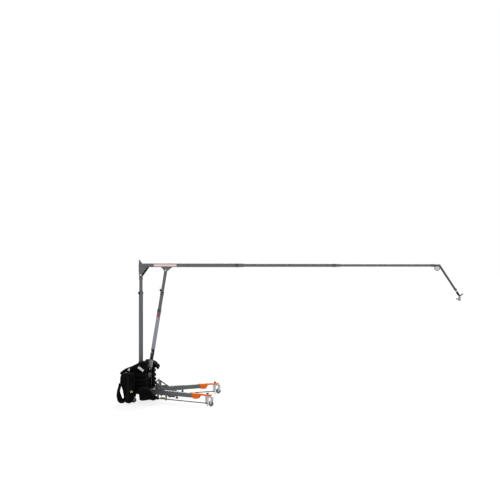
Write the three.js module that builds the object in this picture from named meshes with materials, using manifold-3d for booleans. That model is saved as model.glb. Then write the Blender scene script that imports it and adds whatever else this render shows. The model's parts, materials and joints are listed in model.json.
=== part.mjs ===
// Overhead boom arm on a ballasted rolling base, in millimetres, +X towards the boom's tip, +Z up.
// A telescoping boom luffs on a mast, and a telescoping strut from the base props it from below.
import * as THREE from "three";
import { mergeVertices } from "three/addons/utils/BufferGeometryUtils.js";
import Module from "manifold-3d";

const wasm = await Module();
wasm.setup();

// Clearances and small working values
const fit = 0.3; // gap between pieces that seat on each other
const slideFit = 0.5; // gap all round between telescoping tubes, and round turning pins
const overrun = 6; // how far a cut runs past the face that it leaves through
const weld = 0.0001; // points closer than this are one point

// Numbers of facets
const tubeSides = 18;
const pinSides = 10;
const hexSides = 6;
const arcSteps = 4;

// Luffing head: the boom's pivot above the floor, and the boom's axis above the pivot
const pivotHeight = 2180;
const boomRise = 170;
const pivotBolt = 20;
const headTongue = 40;
const tongueRadius = 30;

// Boom: how far each stage reaches from the pivot when the boom is run out
const boomTail = 25;
const reachOne = 1800;
const reachTwo = 3490;
const reachThree = 5120;
const gooseneckShown = 90; // straight tube between the last stage's mouth and the elbow
const elbowReach = reachThree + gooseneckShown;
const boomOverlap = 250;
const boomOne = 66;
const boomTwo = 54;
const boomThree = 44;
const gooseneckTube = 38;
const gooseneckWall = 3;
const gooseneckOverlap = 300;
const dropLength = 520;
const dropAngle = THREE.MathUtils.degToRad(57);
const clampCollar = 60;
const clampCollarWall = 3;

// Strut: from its foot on the base to its eye under the boom
const strutFootX = 158;
const strutFootHeight = 535;
const strutTopX = 440;
const strutTopRise = 85;
const strutMain = 67;
const strutMainWall = 2.5;
const strutUpper = 54;
const strutUpperWall = 3;
const strutTongue = 30;
const strutPin = 16;
const strutPinHead = 27;
const strutEyeRadius = 26;

// Mast
const mastOuter = 76;
const mastOuterWall = 3;
const mastInner = 60;
const mastInnerWall = 3;
const mastShown = 300; // from the outer tube's mouth up to the boom's pivot
const mastSplit = pivotHeight - mastShown;
const mastOverlap = 500;
const socketTop = 660;
const socketWall = 6;

// Base and legs
const legAxis = 155;
const legAngle = THREE.MathUtils.degToRad(24.5);
const legWidth = 55;
const legHeight = 71;
const legWall = 3;
const legSocketWall = 4;
const plateThickness = 8;
const hubX = 150;
const hubY = 80;
const legSocketStart = 40;
const legSocketEnd = 612;
const legTubeStart = 200;
const bracketStart = 888;
const bracketEnd = 1077;
const footBarEnd = 1269;
const jackPlace = 1200;
const casterPlace = 1284;
const tieRodHeight = 45;
const tieRod = 16;

// Casters, alike at the front and at the rear
const wheelRadius = 45;
const wheelWidth = 24;
const casterTrail = 20;
const casterHeight = 117;
const casterStem = 14;
const swivelHousing = 44;
const rearCasterX = -40;
const rearCasterY = 320;

// Ballast
const courseHeight = 75.2;
const stackDepth = 278;
const nearStackSpan = [-235, 160];
const farStackSpan = [-102, 248];
const farCourses = 5;
const nearCourses = farCourses - 1;

// Finishes
const finish = (color, roughness, metalness) =>
  new THREE.MeshStandardMaterial({ color, roughness, metalness });
const greyPaint = finish(0x6b6d70, 0.45, 0.3);
const blackPaint = finish(0x1a1a1b, 0.5, 0.3);
const orangePaint = finish(0xf06e1e, 0.4, 0.2);
const zinc = finish(0xb8bbbd, 0.35, 0.9);
const blackPlastic = finish(0x151516, 0.55, 0);
const wheelRubber = finish(0x77797b, 0.7, 0);
const bagCloth = finish(0x111113, 0.9, 0);

// A closed geometry as a solid. A profile that runs the other way round comes out inside out and is turned.
function solid(geometry) {
  const bare = geometry.clone();
  bare.deleteAttribute("normal");
  bare.deleteAttribute("uv");
  const merged = mergeVertices(bare, weld);
  const vertProperties = merged.attributes.position.array;
  const triVerts = new Uint32Array(merged.index.array);
  const made = new wasm.Manifold(new wasm.Mesh({ numProp: 3, vertProperties, triVerts }));
  if (made.volume() >= 0) return made;
  return new wasm.Manifold(
    new wasm.Mesh({ numProp: 3, vertProperties, triVerts: triVerts.toReversed() }),
  );
}

// A solid's surface as a geometry.
function surface(made) {
  const mesh = made.getMesh();
  const positions = new Float32Array(mesh.numVert * 3);
  for (let i = 0; i < mesh.numVert; i++) {
    const from = i * mesh.numProp;
    positions.set(mesh.vertProperties.subarray(from, from + 3), i * 3);
  }
  const geometry = new THREE.BufferGeometry();
  geometry.setAttribute("position", new THREE.BufferAttribute(positions, 3));
  geometry.setIndex(new THREE.BufferAttribute(new Uint32Array(mesh.triVerts), 1));
  geometry.computeVertexNormals();
  return geometry;
}

const fuse = (...pieces) => surface(pieces.map(solid).reduce((a, b) => a.add(b)));
const cut = (piece, ...tools) =>
  surface(tools.map(solid).reduce((left, tool) => left.subtract(tool), solid(piece)));

// A block between two values on each axis.
function block([x0, x1], [y0, y1], [z0, z1]) {
  const geometry = new THREE.BoxGeometry(x1 - x0, y1 - y0, z1 - z0);
  return geometry.translate((x0 + x1) / 2, (y0 + y1) / 2, (z0 + z1) / 2);
}

// Turns a geometry made along Y so that it runs along the named axis.
function turnTo(geometry, axis) {
  if (axis === "x") geometry.rotateZ(-Math.PI / 2);
  if (axis === "z") geometry.rotateX(Math.PI / 2);
  return geometry;
}

// A round rod along an axis, between two values on it.
function rod(axis, diameter, [low, high], [x, y, z] = [0, 0, 0], sides = tubeSides) {
  const radius = diameter / 2;
  const geometry = new THREE.CylinderGeometry(radius, radius, high - low, sides);
  geometry.translate(0, (low + high) / 2, 0);
  return turnTo(geometry, axis).translate(x, y, z);
}

// A small rod about the origin's axis, with fewer facets.
const bareRod = (axis, diameter, span) => rod(axis, diameter, span, [0, 0, 0], pinSides);

// A hole for a pin that turns or slides in it. The hole's flats, not its corners, keep the clearance.
function pinHole(axis, pin, span, place = [0, 0, 0]) {
  const diameter = (pin + 2 * slideFit) / Math.cos(Math.PI / pinSides);
  return rod(axis, diameter, span, place, pinSides);
}

// A turned piece: a profile of radius and height pairs, revolved about an axis.
function turned(axis, profile, sides = tubeSides) {
  const points = profile.map(([radius, height]) => new THREE.Vector2(radius, height));
  return turnTo(new THREE.LatheGeometry(points, sides), axis);
}

// A pipe along an axis, open at both ends.
function pipe(axis, outer, inner, [low, high], sides = tubeSides) {
  const profile = [
    [inner / 2, low],
    [outer / 2, low],
    [outer / 2, high],
    [inner / 2, high],
    [inner / 2, low],
  ];
  return turned(axis, profile, sides);
}

const outline = (points) => new THREE.Shape(points.map(([x, y]) => new THREE.Vector2(x, y)));

// A plate that lies flat, from one height to another.
function flatPlate(shape, [low, high]) {
  const geometry = new THREE.ExtrudeGeometry(shape, {
    depth: high - low,
    bevelEnabled: false,
    curveSegments: arcSteps,
  });
  return geometry.translate(0, 0, low);
}

// A plate that stands in the XZ plane, from one Y to another. Its outline is in X and Z.
function standingPlate(shape, [low, high]) {
  return flatPlate(shape, [-high, -low]).rotateX(Math.PI / 2);
}

// A soft block: an outline drawn in X and Z, given a depth along Y and rounded all round.
function pillow(shape, [low, high], round) {
  const geometry = new THREE.ExtrudeGeometry(shape, {
    depth: high - low - 2 * round,
    bevelThickness: round,
    bevelSize: round,
    bevelOffset: -round,
    bevelSegments: 1,
  });
  return geometry.rotateX(Math.PI / 2).translate(0, high - round, 0);
}

// A rectangular tube along X, open at both ends.
function boxTube(width, height, wall, [low, high], z) {
  const outer = block([low, high], [-width / 2, width / 2], [z - height / 2, z + height / 2]);
  const inner = block(
    [low - overrun, high + overrun],
    [wall - width / 2, width / 2 - wall],
    [z - height / 2 + wall, z + height / 2 - wall],
  );
  return cut(outer, inner);
}

// The two tangents from a point to a circle about the origin meet it at these angles.
function tangentAngles(x, y, radius) {
  const towards = Math.atan2(y, x);
  const spread = Math.acos(radius / Math.hypot(x, y));
  return [towards - spread, towards + spread];
}

// Clamp knobs: a screw with a lobed grip, made pointing up with the grip's foot at height zero
const knobRadius = 24;
const knobHeight = 22;
const knobLobes = 5;
const knobLobeShare = 0.12;
const knobNeck = 5;
const knobNeckRadius = 11;
const knobScrew = 10;
const knobBoss = 26;
const knobBossHeight = 12;
const knobSteps = 20;

// A round outline that swells into lobes.
function lobedRound(largest) {
  const points = [];
  for (let i = 0; i < knobSteps; i++) {
    const angle = (i / knobSteps) * 2 * Math.PI;
    const radius = largest * (1 - knobLobeShare + knobLobeShare * Math.cos(knobLobes * angle));
    points.push([radius * Math.cos(angle), radius * Math.sin(angle)]);
  }
  return outline(points);
}

function lobedKnob(screwLength) {
  const grip = flatPlate(lobedRound(knobRadius), [knobNeck, knobNeck + knobHeight]);
  const neck = turned(
    "z",
    [
      [0, -screwLength],
      [knobScrew / 2, -screwLength],
      [knobScrew / 2, 0],
      [knobNeckRadius, 0],
      [knobNeckRadius, knobNeck + knobHeight / 2],
      [0, knobNeck + knobHeight / 2],
    ],
    pinSides,
  );
  return fuse(grip, neck);
}

const root = new THREE.Group();
root.name = "overhead_boom_arm";

// Puts one sub-part into a group as its own named mesh.
function add(parent, name, geometry, material) {
  const mesh = new THREE.Mesh(geometry, material);
  mesh.name = name;
  parent.add(mesh);
  return mesh;
}

function group(parent, name, [x, y, z]) {
  const made = new THREE.Group();
  made.name = name;
  made.position.set(x, y, z);
  parent.add(made);
  return made;
}

// A clamp boss on a tube's flank that faces -Y, and the bore for its screw.
function boss(tubeDiameter, x, z) {
  const reach = tubeDiameter / 2 + knobBossHeight;
  return rod("y", knobBoss, [-reach, knobBoss / 2 - tubeDiameter / 2], [x, 0, z], pinSides);
}

function bossBore(tubeDiameter, x, z) {
  const reach = tubeDiameter / 2 + knobBossHeight + overrun;
  return pinHole("y", knobScrew, [-reach, 0], [x, 0, z]);
}

// A knob in such a boss: its screw stops just short of the tube inside.
function sideKnob(parent, name, outerDiameter, innerDiameter, x, z) {
  const seat = outerDiameter / 2 + knobBossHeight + fit;
  const screwLength = seat - innerDiameter / 2 - fit;
  const place = group(parent, name + "_axis", [x, -seat, z]);
  place.rotation.x = Math.PI / 2;
  add(place, name, lobedKnob(screwLength), blackPlastic);
}

// Base: a deck and a floor plate with the leg sockets between them
const legSocketWidth = legWidth + 2 * slideFit + 2 * legSocketWall;
const legSocketHeight = legHeight + 2 * slideFit + 2 * legSocketWall;
const deckLow = legAxis + legSocketHeight / 2 + fit;
const deckHigh = deckLow + plateThickness;
const floorHigh = legAxis - legSocketHeight / 2 - fit;
const floorLow = floorHigh - plateThickness;
const deckFront = 298;
const deckRear = -100;
const deckHalfRear = 335;
const deckHalfFront = 215;
const deckShoulder = 120;
const deckCorner = 40;
const floorHalfRear = 100;
const floorHalfFront = 190;
const spineHalf = 28;
const crossbarHalf = 25;
const crossbarHeight = 50;
const stopHeight = 140;
const stopHalf = 150;
const stopPost = 50;
const stopSill = 35;
const stopRail = 25;
const postHalf = 28;
const postTop = 65;
const earThickness = 10;
const mastSocket = mastOuter + 2 * fit + 2 * socketWall;
const gussetReach = 52;
const gussetHeight = 90;

function deckOutline() {
  return outline([
    [deckRear, -deckHalfRear + deckCorner],
    [deckRear + deckCorner, -deckHalfRear],
    [deckShoulder, -deckHalfRear],
    [deckFront, -deckHalfFront],
    [deckFront, deckHalfFront],
    [deckShoulder, deckHalfRear],
    [deckRear + deckCorner, deckHalfRear],
    [deckRear, deckHalfRear - deckCorner],
  ]);
}

function floorOutline() {
  return outline([
    [deckRear, -floorHalfRear],
    [deckFront, -floorHalfFront],
    [deckFront, floorHalfFront],
    [deckRear, floorHalfRear],
  ]);
}

// The mast's socket is blind: the mast stands on the deck inside it.
function mastSocketSolid() {
  const bore = mastOuter / 2 + fit;
  const outer = mastSocket / 2;
  const profile = [
    [0, deckLow],
    [outer, deckLow],
    [outer, socketTop],
    [bore, socketTop],
    [bore, deckHigh],
    [0, deckHigh],
  ];
  return turned("z", profile);
}

// A gusset in front of the mast's socket and one behind it.
function socketGusset(way) {
  const foot = mastSocket / 2 - socketWall / 2;
  const shape = outline([
    [way * foot, deckLow],
    [way * (foot + gussetReach), deckLow],
    [way * (foot + gussetReach), deckHigh + plateThickness],
    [way * foot, deckHigh + gussetHeight],
  ]);
  return standingPlate(shape, [-plateThickness / 2, plateThickness / 2]);
}

// The post under the strut, with two ears that hold the strut's foot.
function strutPost() {
  const ears = [-1, 1].map((side) => {
    const shape = new THREE.Shape();
    shape.moveTo(strutFootX - postHalf, strutFootHeight - postTop - plateThickness);
    shape.lineTo(strutFootX + postHalf, strutFootHeight - postTop - plateThickness);
    shape.lineTo(strutFootX + postHalf, strutFootHeight);
    shape.absarc(strutFootX, strutFootHeight, postHalf, 0, Math.PI, false);
    const inner = side * (strutTongue / 2 + slideFit);
    const outer = inner + side * earThickness;
    return standingPlate(shape, [Math.min(inner, outer), Math.max(inner, outer)]);
  });
  const half = strutTongue / 2 + slideFit + earThickness;
  const column = block(
    [strutFootX - postHalf, strutFootX + postHalf],
    [-half, half],
    [deckLow, strutFootHeight - postTop],
  );
  const bore = pinHole(
    "y",
    strutPin,
    [-half - overrun, half + overrun],
    [strutFootX, 0, strutFootHeight],
  );
  return cut(fuse(column, ...ears), bore);
}

// The upright stop at the front of the deck, with a window between its two posts.
function frontStop() {
  const thick = [deckFront - plateThickness, deckFront];
  const plate = block(thick, [-stopHalf, stopHalf], [deckLow, deckHigh + stopHeight]);
  const window = block(
    [thick[0] - overrun, thick[1] + overrun],
    [-stopHalf + stopPost, stopHalf - stopPost],
    [deckHigh + stopSill, deckHigh + stopHeight - stopRail],
  );
  return cut(plate, window);
}

function chassisFrame() {
  const deck = flatPlate(deckOutline(), [deckLow, deckHigh]);
  const floor = flatPlate(floorOutline(), [floorLow, floorHigh]);
  const spine = block([deckRear, deckFront], [-spineHalf, spineHalf], [floorLow, deckHigh]);
  const crossbarEnd = rearCasterY + crossbarHalf;
  const crossbar = block(
    [rearCasterX - crossbarHalf, rearCasterX + crossbarHalf],
    [-crossbarEnd, crossbarEnd],
    [deckHigh - crossbarHeight, deckHigh],
  );
  const housings = [-1, 1].map((side) => rod(
    "z",
    swivelHousing,
    [casterHeight + fit, deckHigh - plateThickness],
    [rearCasterX, side * rearCasterY, 0],
  ));
  const body = fuse(
    deck,
    floor,
    spine,
    crossbar,
    ...housings,
    mastSocketSolid(),
    socketGusset(1),
    socketGusset(-1),
    strutPost(),
    frontStop(),
  );
  const stems = [-1, 1].map((side) => pinHole(
    "z",
    casterStem,
    [casterHeight - overrun, casterHeight + casterStemLength + overrun],
    [rearCasterX, side * rearCasterY, 0],
  ));
  return cut(body, ...stems);
}

// Casters: a fork with its stem and axle, and a wheel, both about the swivel axis at the origin
const casterStemLength = 30;
const forkCrown = 6;
const forkCrownRadius = 24;
const forkCheek = 4;
const axle = 12;
const axleHead = 18;
const wheelSideGap = 1;
const wheelTreadShare = 0.6;
const wheelHubShare = 0.55;
const wheelWebShare = 0.5;
const forkRearShare = 0.6;

function casterFork() {
  const inner = wheelWidth / 2 + wheelSideGap;
  const crownLow = casterHeight - forkCrown;
  const crown = bareRod("z", 2 * forkCrownRadius, [crownLow, casterHeight]);
  const stem = bareRod("z", casterStem, [crownLow, casterHeight + casterStemLength]);
  const cheeks = [-1, 1].map((side) => {
    const shape = new THREE.Shape();
    shape.moveTo(-forkCrownRadius * forkRearShare, casterHeight);
    shape.lineTo(casterTrail - axleHead / 2, wheelRadius);
    shape.absarc(casterTrail, wheelRadius, axleHead / 2, Math.PI, 2 * Math.PI, false);
    shape.lineTo(forkCrownRadius, crownLow);
    shape.lineTo(forkCrownRadius, casterHeight);
    const near = side * inner;
    const far = side * (inner + forkCheek);
    return standingPlate(shape, [Math.min(near, far), Math.max(near, far)]);
  });
  const reach = inner + 2 * forkCheek;
  const pin = rod("y", axle, [-reach, reach], [casterTrail, 0, wheelRadius], pinSides);
  return fuse(crown, stem, ...cheeks, pin);
}

function casterWheel() {
  const half = wheelWidth / 2;
  const tread = half * wheelTreadShare;
  const hub = wheelRadius * wheelHubShare;
  const web = half * wheelWebShare;
  const bore = axle / 2 + slideFit;
  const profile = [
    [bore, -half],
    [hub, -web],
    [wheelRadius - (half - tread), -half],
    [wheelRadius, -tread],
    [wheelRadius, tread],
    [wheelRadius - (half - tread), half],
    [hub, web],
    [bore, half],
    [bore, -half],
  ];
  return turned("y", profile).translate(casterTrail, 0, wheelRadius);
}

function caster(parent, name, x, y, heading) {
  const swivel = group(parent, name + "_swivel", [x, y, 0]);
  swivel.rotation.z = heading;
  add(swivel, name + "_fork", casterFork(), zinc);
  add(swivel, name + "_wheel", casterWheel(), wheelRubber);
}

// Mast tubes, and the pull pin in the mast's collar
const collarWall = 5.7;
const collarHeight = 47;
const collarLip = 12;
const collarChamfer = 3;
const pullPin = 12;
const pullPinGrip = 30;
const pullPinGripLength = 32;
const pullPinBoss = 24;
const pullPinBossLength = 16;
const pullPinAngle = THREE.MathUtils.degToRad(-105);
const pullPinDrop = 16;
const pullPinHeight = mastSplit - pullPinDrop;

function mastOuterTube() {
  const tube = pipe("z", mastOuter, mastOuter - 2 * mastOuterWall, [deckHigh + fit, mastSplit]);
  const guide = mastInner / 2 + slideFit;
  const outer = mastOuter / 2 + collarWall;
  const collar = turned("z", [
    [mastOuter / 2 - mastOuterWall / 2, mastSplit - collarHeight + collarLip],
    [outer - collarChamfer, mastSplit - collarHeight + collarLip],
    [outer, mastSplit - collarHeight + collarLip + collarChamfer],
    [outer, mastSplit + collarLip - collarChamfer],
    [outer - collarChamfer, mastSplit + collarLip],
    [guide, mastSplit + collarLip],
    [guide, mastSplit - mastOuterWall],
    [mastOuter / 2 - mastOuterWall / 2, mastSplit - mastOuterWall],
    [mastOuter / 2 - mastOuterWall / 2, mastSplit - collarHeight + collarLip],
  ]);
  const bossEnd = outer + pullPinBossLength;
  const bossRod = bareRod("x", pullPinBoss, [mastOuter / 2 - mastOuterWall / 2, bossEnd]);
  const bore = pinHole("x", pullPin, [0, bossEnd + overrun]);
  for (const piece of [bossRod, bore]) piece.rotateZ(pullPinAngle).translate(0, 0, pullPinHeight);
  return cut(fuse(tube, collar, bossRod), bore);
}

function pullPinSolid() {
  const seat = mastOuter / 2 + collarWall + pullPinBossLength + fit;
  const profile = [
    [0, mastInner / 2 + fit],
    [pullPin / 2, mastInner / 2 + fit],
    [pullPin / 2, seat],
    [pullPinGrip / 2, seat],
    [pullPinGrip / 2, seat + pullPinGripLength - collarChamfer],
    [pullPinGrip / 2 - collarChamfer, seat + pullPinGripLength],
    [0, seat + pullPinGripLength],
  ];
  return turned("x", profile, pinSides);
}

// Mast head: a cap on the inner tube with the tongue that the boom's bracket straddles
const headCap = 68;
const headCapTop = 36.5;
const headCapBottom = 84;
const headSeat = 52;

function mastHead() {
  const cap = turned("z", [
    [0, -headCapTop],
    [headCap / 2, -headCapTop],
    [headCap / 2, -headCapBottom],
    [mastInner / 2 + fit, -headCapBottom],
    [mastInner / 2 + fit, -headSeat],
    [0, -headSeat],
  ]);
  const shape = new THREE.Shape();
  shape.moveTo(-tongueRadius, -headCapTop - plateThickness);
  shape.lineTo(tongueRadius, -headCapTop - plateThickness);
  shape.lineTo(tongueRadius, 0);
  shape.absarc(0, 0, tongueRadius, 0, Math.PI, false);
  const half = headTongue / 2;
  const tongue = standingPlate(shape, [-half, half]);
  const bore = pinHole("y", pivotBolt, [-half - overrun, half + overrun]);
  return cut(fuse(cap, tongue), bore);
}

function mastInnerTube() {
  const top = -headSeat - fit;
  const bottom = mastSplit - mastOverlap - pivotHeight;
  return pipe("z", mastInner, mastInner - 2 * mastInnerWall, [bottom, top]);
}

// Boom bracket: two cheeks from the pivot to the boom, a rear bar behind the boom and a fin above it
const cheekThickness = 8;
const rearBar = 10;
const rearBarLow = 52;
const bracketFront = 153;
const braceStrapWidth = 24;
const bracketFrontRise = 150;
const finHeight = 98;
const finLength = 62;
const boltHead = 36;
const boltHeadHeight = 12;

const cheekInner = headTongue / 2 + fit;
const cheekOuter = cheekInner + cheekThickness;
const bracketRadius = boomTail + rearBar;

// The boom's own cylinder, with the gap that a seated piece keeps.
const boomClearance = (low, high) =>
  rod("x", boomOne + 2 * fit, [low, high], [0, 0, boomRise]);

function boomBracket() {
  const [tangent] = tangentAngles(bracketFront, bracketFrontRise, bracketRadius);
  const shape = new THREE.Shape();
  shape.moveTo(-bracketRadius, 0);
  shape.absarc(0, 0, bracketRadius, Math.PI, 2 * Math.PI + tangent, false);
  shape.lineTo(bracketFront, bracketFrontRise);
  shape.lineTo(bracketFront, boomRise);
  shape.lineTo(-bracketRadius, boomRise);
  const cheeks = [
    standingPlate(shape, [-cheekOuter, -cheekInner]),
    standingPlate(shape, [cheekInner, cheekOuter]),
  ];
  const bar = block(
    [-bracketRadius - fit, -boomTail - fit],
    [-cheekOuter, cheekOuter],
    [rearBarLow, boomRise + boomOne / 2],
  );
  const finShape = outline([
    [-bracketRadius - fit, boomRise],
    [finLength - bracketRadius, boomRise],
    [finLength - bracketRadius, boomRise + boomOne / 2 + fit],
    [-bracketRadius + rearBar / 2, boomRise + finHeight],
    [-bracketRadius - fit, boomRise + finHeight],
  ]);
  const fin = standingPlate(finShape, [-rearBar / 2, rearBar / 2]);
  const reach = cheekOuter + overrun;
  const bore = pinHole("y", pivotBolt, [-reach, reach]);
  const seat = boomClearance(-boomTail - fit, bracketFront + overrun);
  return cut(fuse(...cheeks, bar, fin), seat, bore);
}

// The black brace plate that closes the bracket's front edge.
function braceStrap() {
  const [tangent] = tangentAngles(bracketFront, bracketFrontRise, bracketRadius);
  const start = [bracketRadius * Math.cos(tangent), bracketRadius * Math.sin(tangent)];
  const slope = Math.atan2(bracketFrontRise - start[1], bracketFront - start[0]);
  const length = Math.hypot(bracketFront - start[0], bracketFrontRise - start[1]);
  const strap = block(
    [rearBar, length],
    [-cheekOuter, cheekOuter],
    [-braceStrapWidth - fit, -fit],
  );
  strap.rotateY(-slope).translate(start[0], 0, start[1]);
  return cut(strap, boomClearance(0, bracketFront + length));
}

function pivotBoltSolid() {
  const seat = cheekOuter + fit;
  const profile = [
    [0, -seat - boltHeadHeight],
    [boltHead / 2, -seat - boltHeadHeight],
    [boltHead / 2, -seat],
    [pivotBolt / 2, -seat],
    [pivotBolt / 2, seat],
    [boltHead / 2, seat],
    [boltHead / 2, seat + boltHeadHeight],
    [0, seat + boltHeadHeight],
  ];
  return turned("y", profile, pinSides);
}

// Strut bracket under the boom: two cheeks that narrow to the strut's bolt
const strutBracketRear = 362;
const strutBracketFront = 548;
const strutBracketRadius = 30;
const strutCheek = 8;
const strutSpacer = 18;
const strutBoltHead = 30;
const strutBoltHeadHeight = 11;

function strutBracket() {
  const inner = strutTongue / 2 + slideFit + fit;
  const outer = inner + strutCheek;
  const edge = boomRise - boomOne / 2;
  const rise = edge - strutTopRise;
  const rear = tangentAngles(strutBracketRear - strutTopX, rise, strutBracketRadius)[1];
  const front = tangentAngles(strutBracketFront - strutTopX, rise, strutBracketRadius)[0];
  const shape = new THREE.Shape();
  shape.moveTo(strutBracketRear, boomRise);
  shape.lineTo(strutBracketRear, edge);
  shape.absarc(strutTopX, strutTopRise, strutBracketRadius, rear, 2 * Math.PI + front, false);
  shape.lineTo(strutBracketFront, edge);
  shape.lineTo(strutBracketFront, boomRise);
  const cheeks = [standingPlate(shape, [-outer, -inner]), standingPlate(shape, [inner, outer])];
  const spacers = [strutBracketRear, strutBracketFront - strutSpacer].map((x) => block(
    [x, x + strutSpacer],
    [-outer, outer],
    [edge - strutSpacer / 2, boomRise],
  ));
  const heads = [-1, 1].map((side) => {
    const near = side * (inner + strutCheek / 2);
    const far = side * (outer + strutBoltHeadHeight);
    const span = [Math.min(near, far), Math.max(near, far)];
    return rod("y", strutBoltHead, span, [strutTopX, 0, strutTopRise], hexSides);
  });
  const body = fuse(...cheeks, ...spacers, ...heads);
  return cut(body, boomClearance(strutBracketRear - overrun, strutBracketFront + overrun));
}

// A boom stage: a tube with a clamp collar near its mouth and a boss for the clamp's knob.
function boomStage(outer, inner, start, mouth, knobX) {
  const collarEnds = [knobX - clampCollar / 2, Math.min(knobX + clampCollar / 2, mouth)];
  const collar = pipe("x", outer + 2 * clampCollarWall, inner + clampCollarWall, collarEnds);
  const tube = pipe("x", outer, inner, [start, mouth]);
  const collarDiameter = outer + 2 * clampCollarWall;
  const bored = rod("x", inner, [start - overrun, mouth + overrun]);
  const body = fuse(tube, collar, boss(collarDiameter, knobX, 0));
  return cut(body, bored, bossBore(collarDiameter, knobX, 0)).translate(0, 0, boomRise);
}

// Gooseneck: a tube mitred down at the elbow, with a round gusset in the corner
const gussetRadius = 50;
const gussetBack = 40;
const gussetDrop = 44;
const gussetRim = 24;
const gussetWeb = 10;
const gussetRimWall = 7;
const dropKnobBack = 22;
const spudDiameter = gooseneckTube - 2 * gooseneckWall - 2 * slideFit;
const spudShown = 22;
const spudInside = 120;

function gooseneckArm() {
  const start = reachThree - gooseneckOverlap - elbowReach;
  const over = gooseneckTube;
  const bore = gooseneckTube - 2 * gooseneckWall;
  const half = dropAngle / 2;
  const away = gooseneckTube * 4;
  const keepRear = block([fit, away], [-away, away], [-away, away]).rotateY(half);
  const keepFront = block([-away, -fit], [-away, away], [-away, away]).rotateY(half);
  const rear = cut(rod("x", gooseneckTube, [start, over]), keepRear);
  const front = cut(rod("x", gooseneckTube, [-over, dropLength]).rotateY(dropAngle), keepFront);
  const rearBore = cut(rod("x", bore, [start - overrun, over]), keepRear);
  const frontBore = cut(rod("x", bore, [-over, dropLength + overrun]).rotateY(dropAngle), keepFront);
  const knobX = dropLength - dropKnobBack;
  const bossRod = boss(gooseneckTube, knobX, 0).rotateY(dropAngle);
  const bossHole = bossBore(gooseneckTube, knobX, 0).rotateY(dropAngle);
  const centre = [-gussetBack, 0, -gussetDrop];
  const webSpan = [-gussetWeb / 2, gussetWeb / 2];
  const rimSpan = [-gussetRim / 2, gussetRim / 2];
  const web = rod("y", 2 * gussetRadius - gussetRimWall, webSpan, centre);
  const rim = pipe("y", 2 * gussetRadius, 2 * (gussetRadius - gussetRimWall), rimSpan);
  rim.translate(...centre);
  return cut(fuse(rear, front, web, rim, bossRod), rearBore, frontBore, bossHole);
}

// What hangs from the gooseneck, along the drop arm: spud, coupler, then the receiver on its tilt bolt
const couplerDiameter = 40;
const couplerLength = 62;
const couplerSocket = 26;
const tiltPlace = 112;
const tiltTongue = 16;
const tiltEar = 7;
const tiltRadius = 13;
const tiltBolt = 10;
const receiverDiameter = 46;
const receiverBore = 28.6;
const receiverTop = 20;
const receiverBottom = 84;
const receiverSocket = 54;
const handleHeight = 50;
const handleScrew = 12;
const handleBoss = 24;
const handleBossReach = 32;
const handleBar = 11;
const handleBarHalf = 32;
const handleBarPlace = 19;
const handleHub = 27;
const handleHubRadius = 9;
const leverAngle = THREE.MathUtils.degToRad(35);
const leverReach = 78;
const leverTip = 8;

function dropSpud() {
  return rod("x", spudDiameter, [-spudInside, spudShown + couplerSocket - fit]);
}

function swivelCoupler() {
  const start = spudShown;
  const body = turned("x", [
    [spudDiameter / 2 + slideFit, start],
    [couplerDiameter / 2, start],
    [couplerDiameter / 2, start + couplerLength],
    [0, start + couplerLength],
    [0, start + couplerSocket],
    [spudDiameter / 2 + slideFit, start + couplerSocket],
    [spudDiameter / 2 + slideFit, start],
  ]);
  const inner = tiltTongue / 2 + slideFit;
  const ears = [-1, 1].map((side) => {
    const shape = new THREE.Shape();
    shape.moveTo(start + couplerLength - tiltEar, -tiltRadius);
    shape.lineTo(tiltPlace, -tiltRadius);
    shape.absarc(tiltPlace, 0, tiltRadius, -Math.PI / 2, Math.PI / 2, false);
    shape.lineTo(start + couplerLength - tiltEar, tiltRadius);
    const near = side * inner;
    const far = side * (inner + tiltEar);
    return standingPlate(shape, [Math.min(near, far), Math.max(near, far)]);
  });
  const reach = inner + tiltEar + overrun;
  const bore = pinHole("y", tiltBolt, [-reach, reach], [tiltPlace, 0, 0]);
  return cut(fuse(body, ...ears), bore);
}

// The receiver is drawn upright, with the tilt bolt at the origin.
function receiverSolid() {
  const outer = receiverDiameter / 2;
  const chamfer = collarChamfer;
  const body = turned("z", [
    [0, -receiverTop],
    [outer - chamfer, -receiverTop],
    [outer, -receiverTop - chamfer],
    [outer, -receiverBottom],
    [receiverBore / 2, -receiverBottom],
    [receiverBore / 2, receiverSocket - receiverBottom],
    [0, receiverSocket - receiverBottom],
  ]);
  const shape = new THREE.Shape();
  shape.moveTo(-tiltRadius, -receiverTop - chamfer);
  shape.lineTo(tiltRadius, -receiverTop - chamfer);
  shape.lineTo(tiltRadius, 0);
  shape.absarc(0, 0, tiltRadius, 0, Math.PI, false);
  const half = tiltTongue / 2;
  const tongue = standingPlate(shape, [-half, half]);
  const bolt = pinHole("y", tiltBolt, [-half - overrun, half + overrun]);
  const side = bareRod("x", handleBoss, [-handleBossReach, -receiverBore / 2 - fit]);
  const tap = pinHole("x", handleScrew, [-handleBossReach - overrun, 0]);
  for (const piece of [side, tap]) piece.translate(0, 0, -handleHeight);
  return cut(fuse(body, tongue, side), bolt, tap);
}

function receiverHandle() {
  const seat = -handleBossReach - fit;
  const screw = turned("x", [
    [0, seat - handleHub],
    [handleHubRadius, seat - handleHub],
    [handleHubRadius, seat],
    [handleScrew / 2, seat],
    [handleScrew / 2, -receiverBore / 2 - fit],
    [0, -receiverBore / 2 - fit],
  ], pinSides);
  const bar = rod(
    "y",
    handleBar,
    [-handleBarHalf, handleBarHalf],
    [seat - handleBarPlace, 0, 0],
    pinSides,
  );
  return fuse(screw, bar);
}

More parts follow.
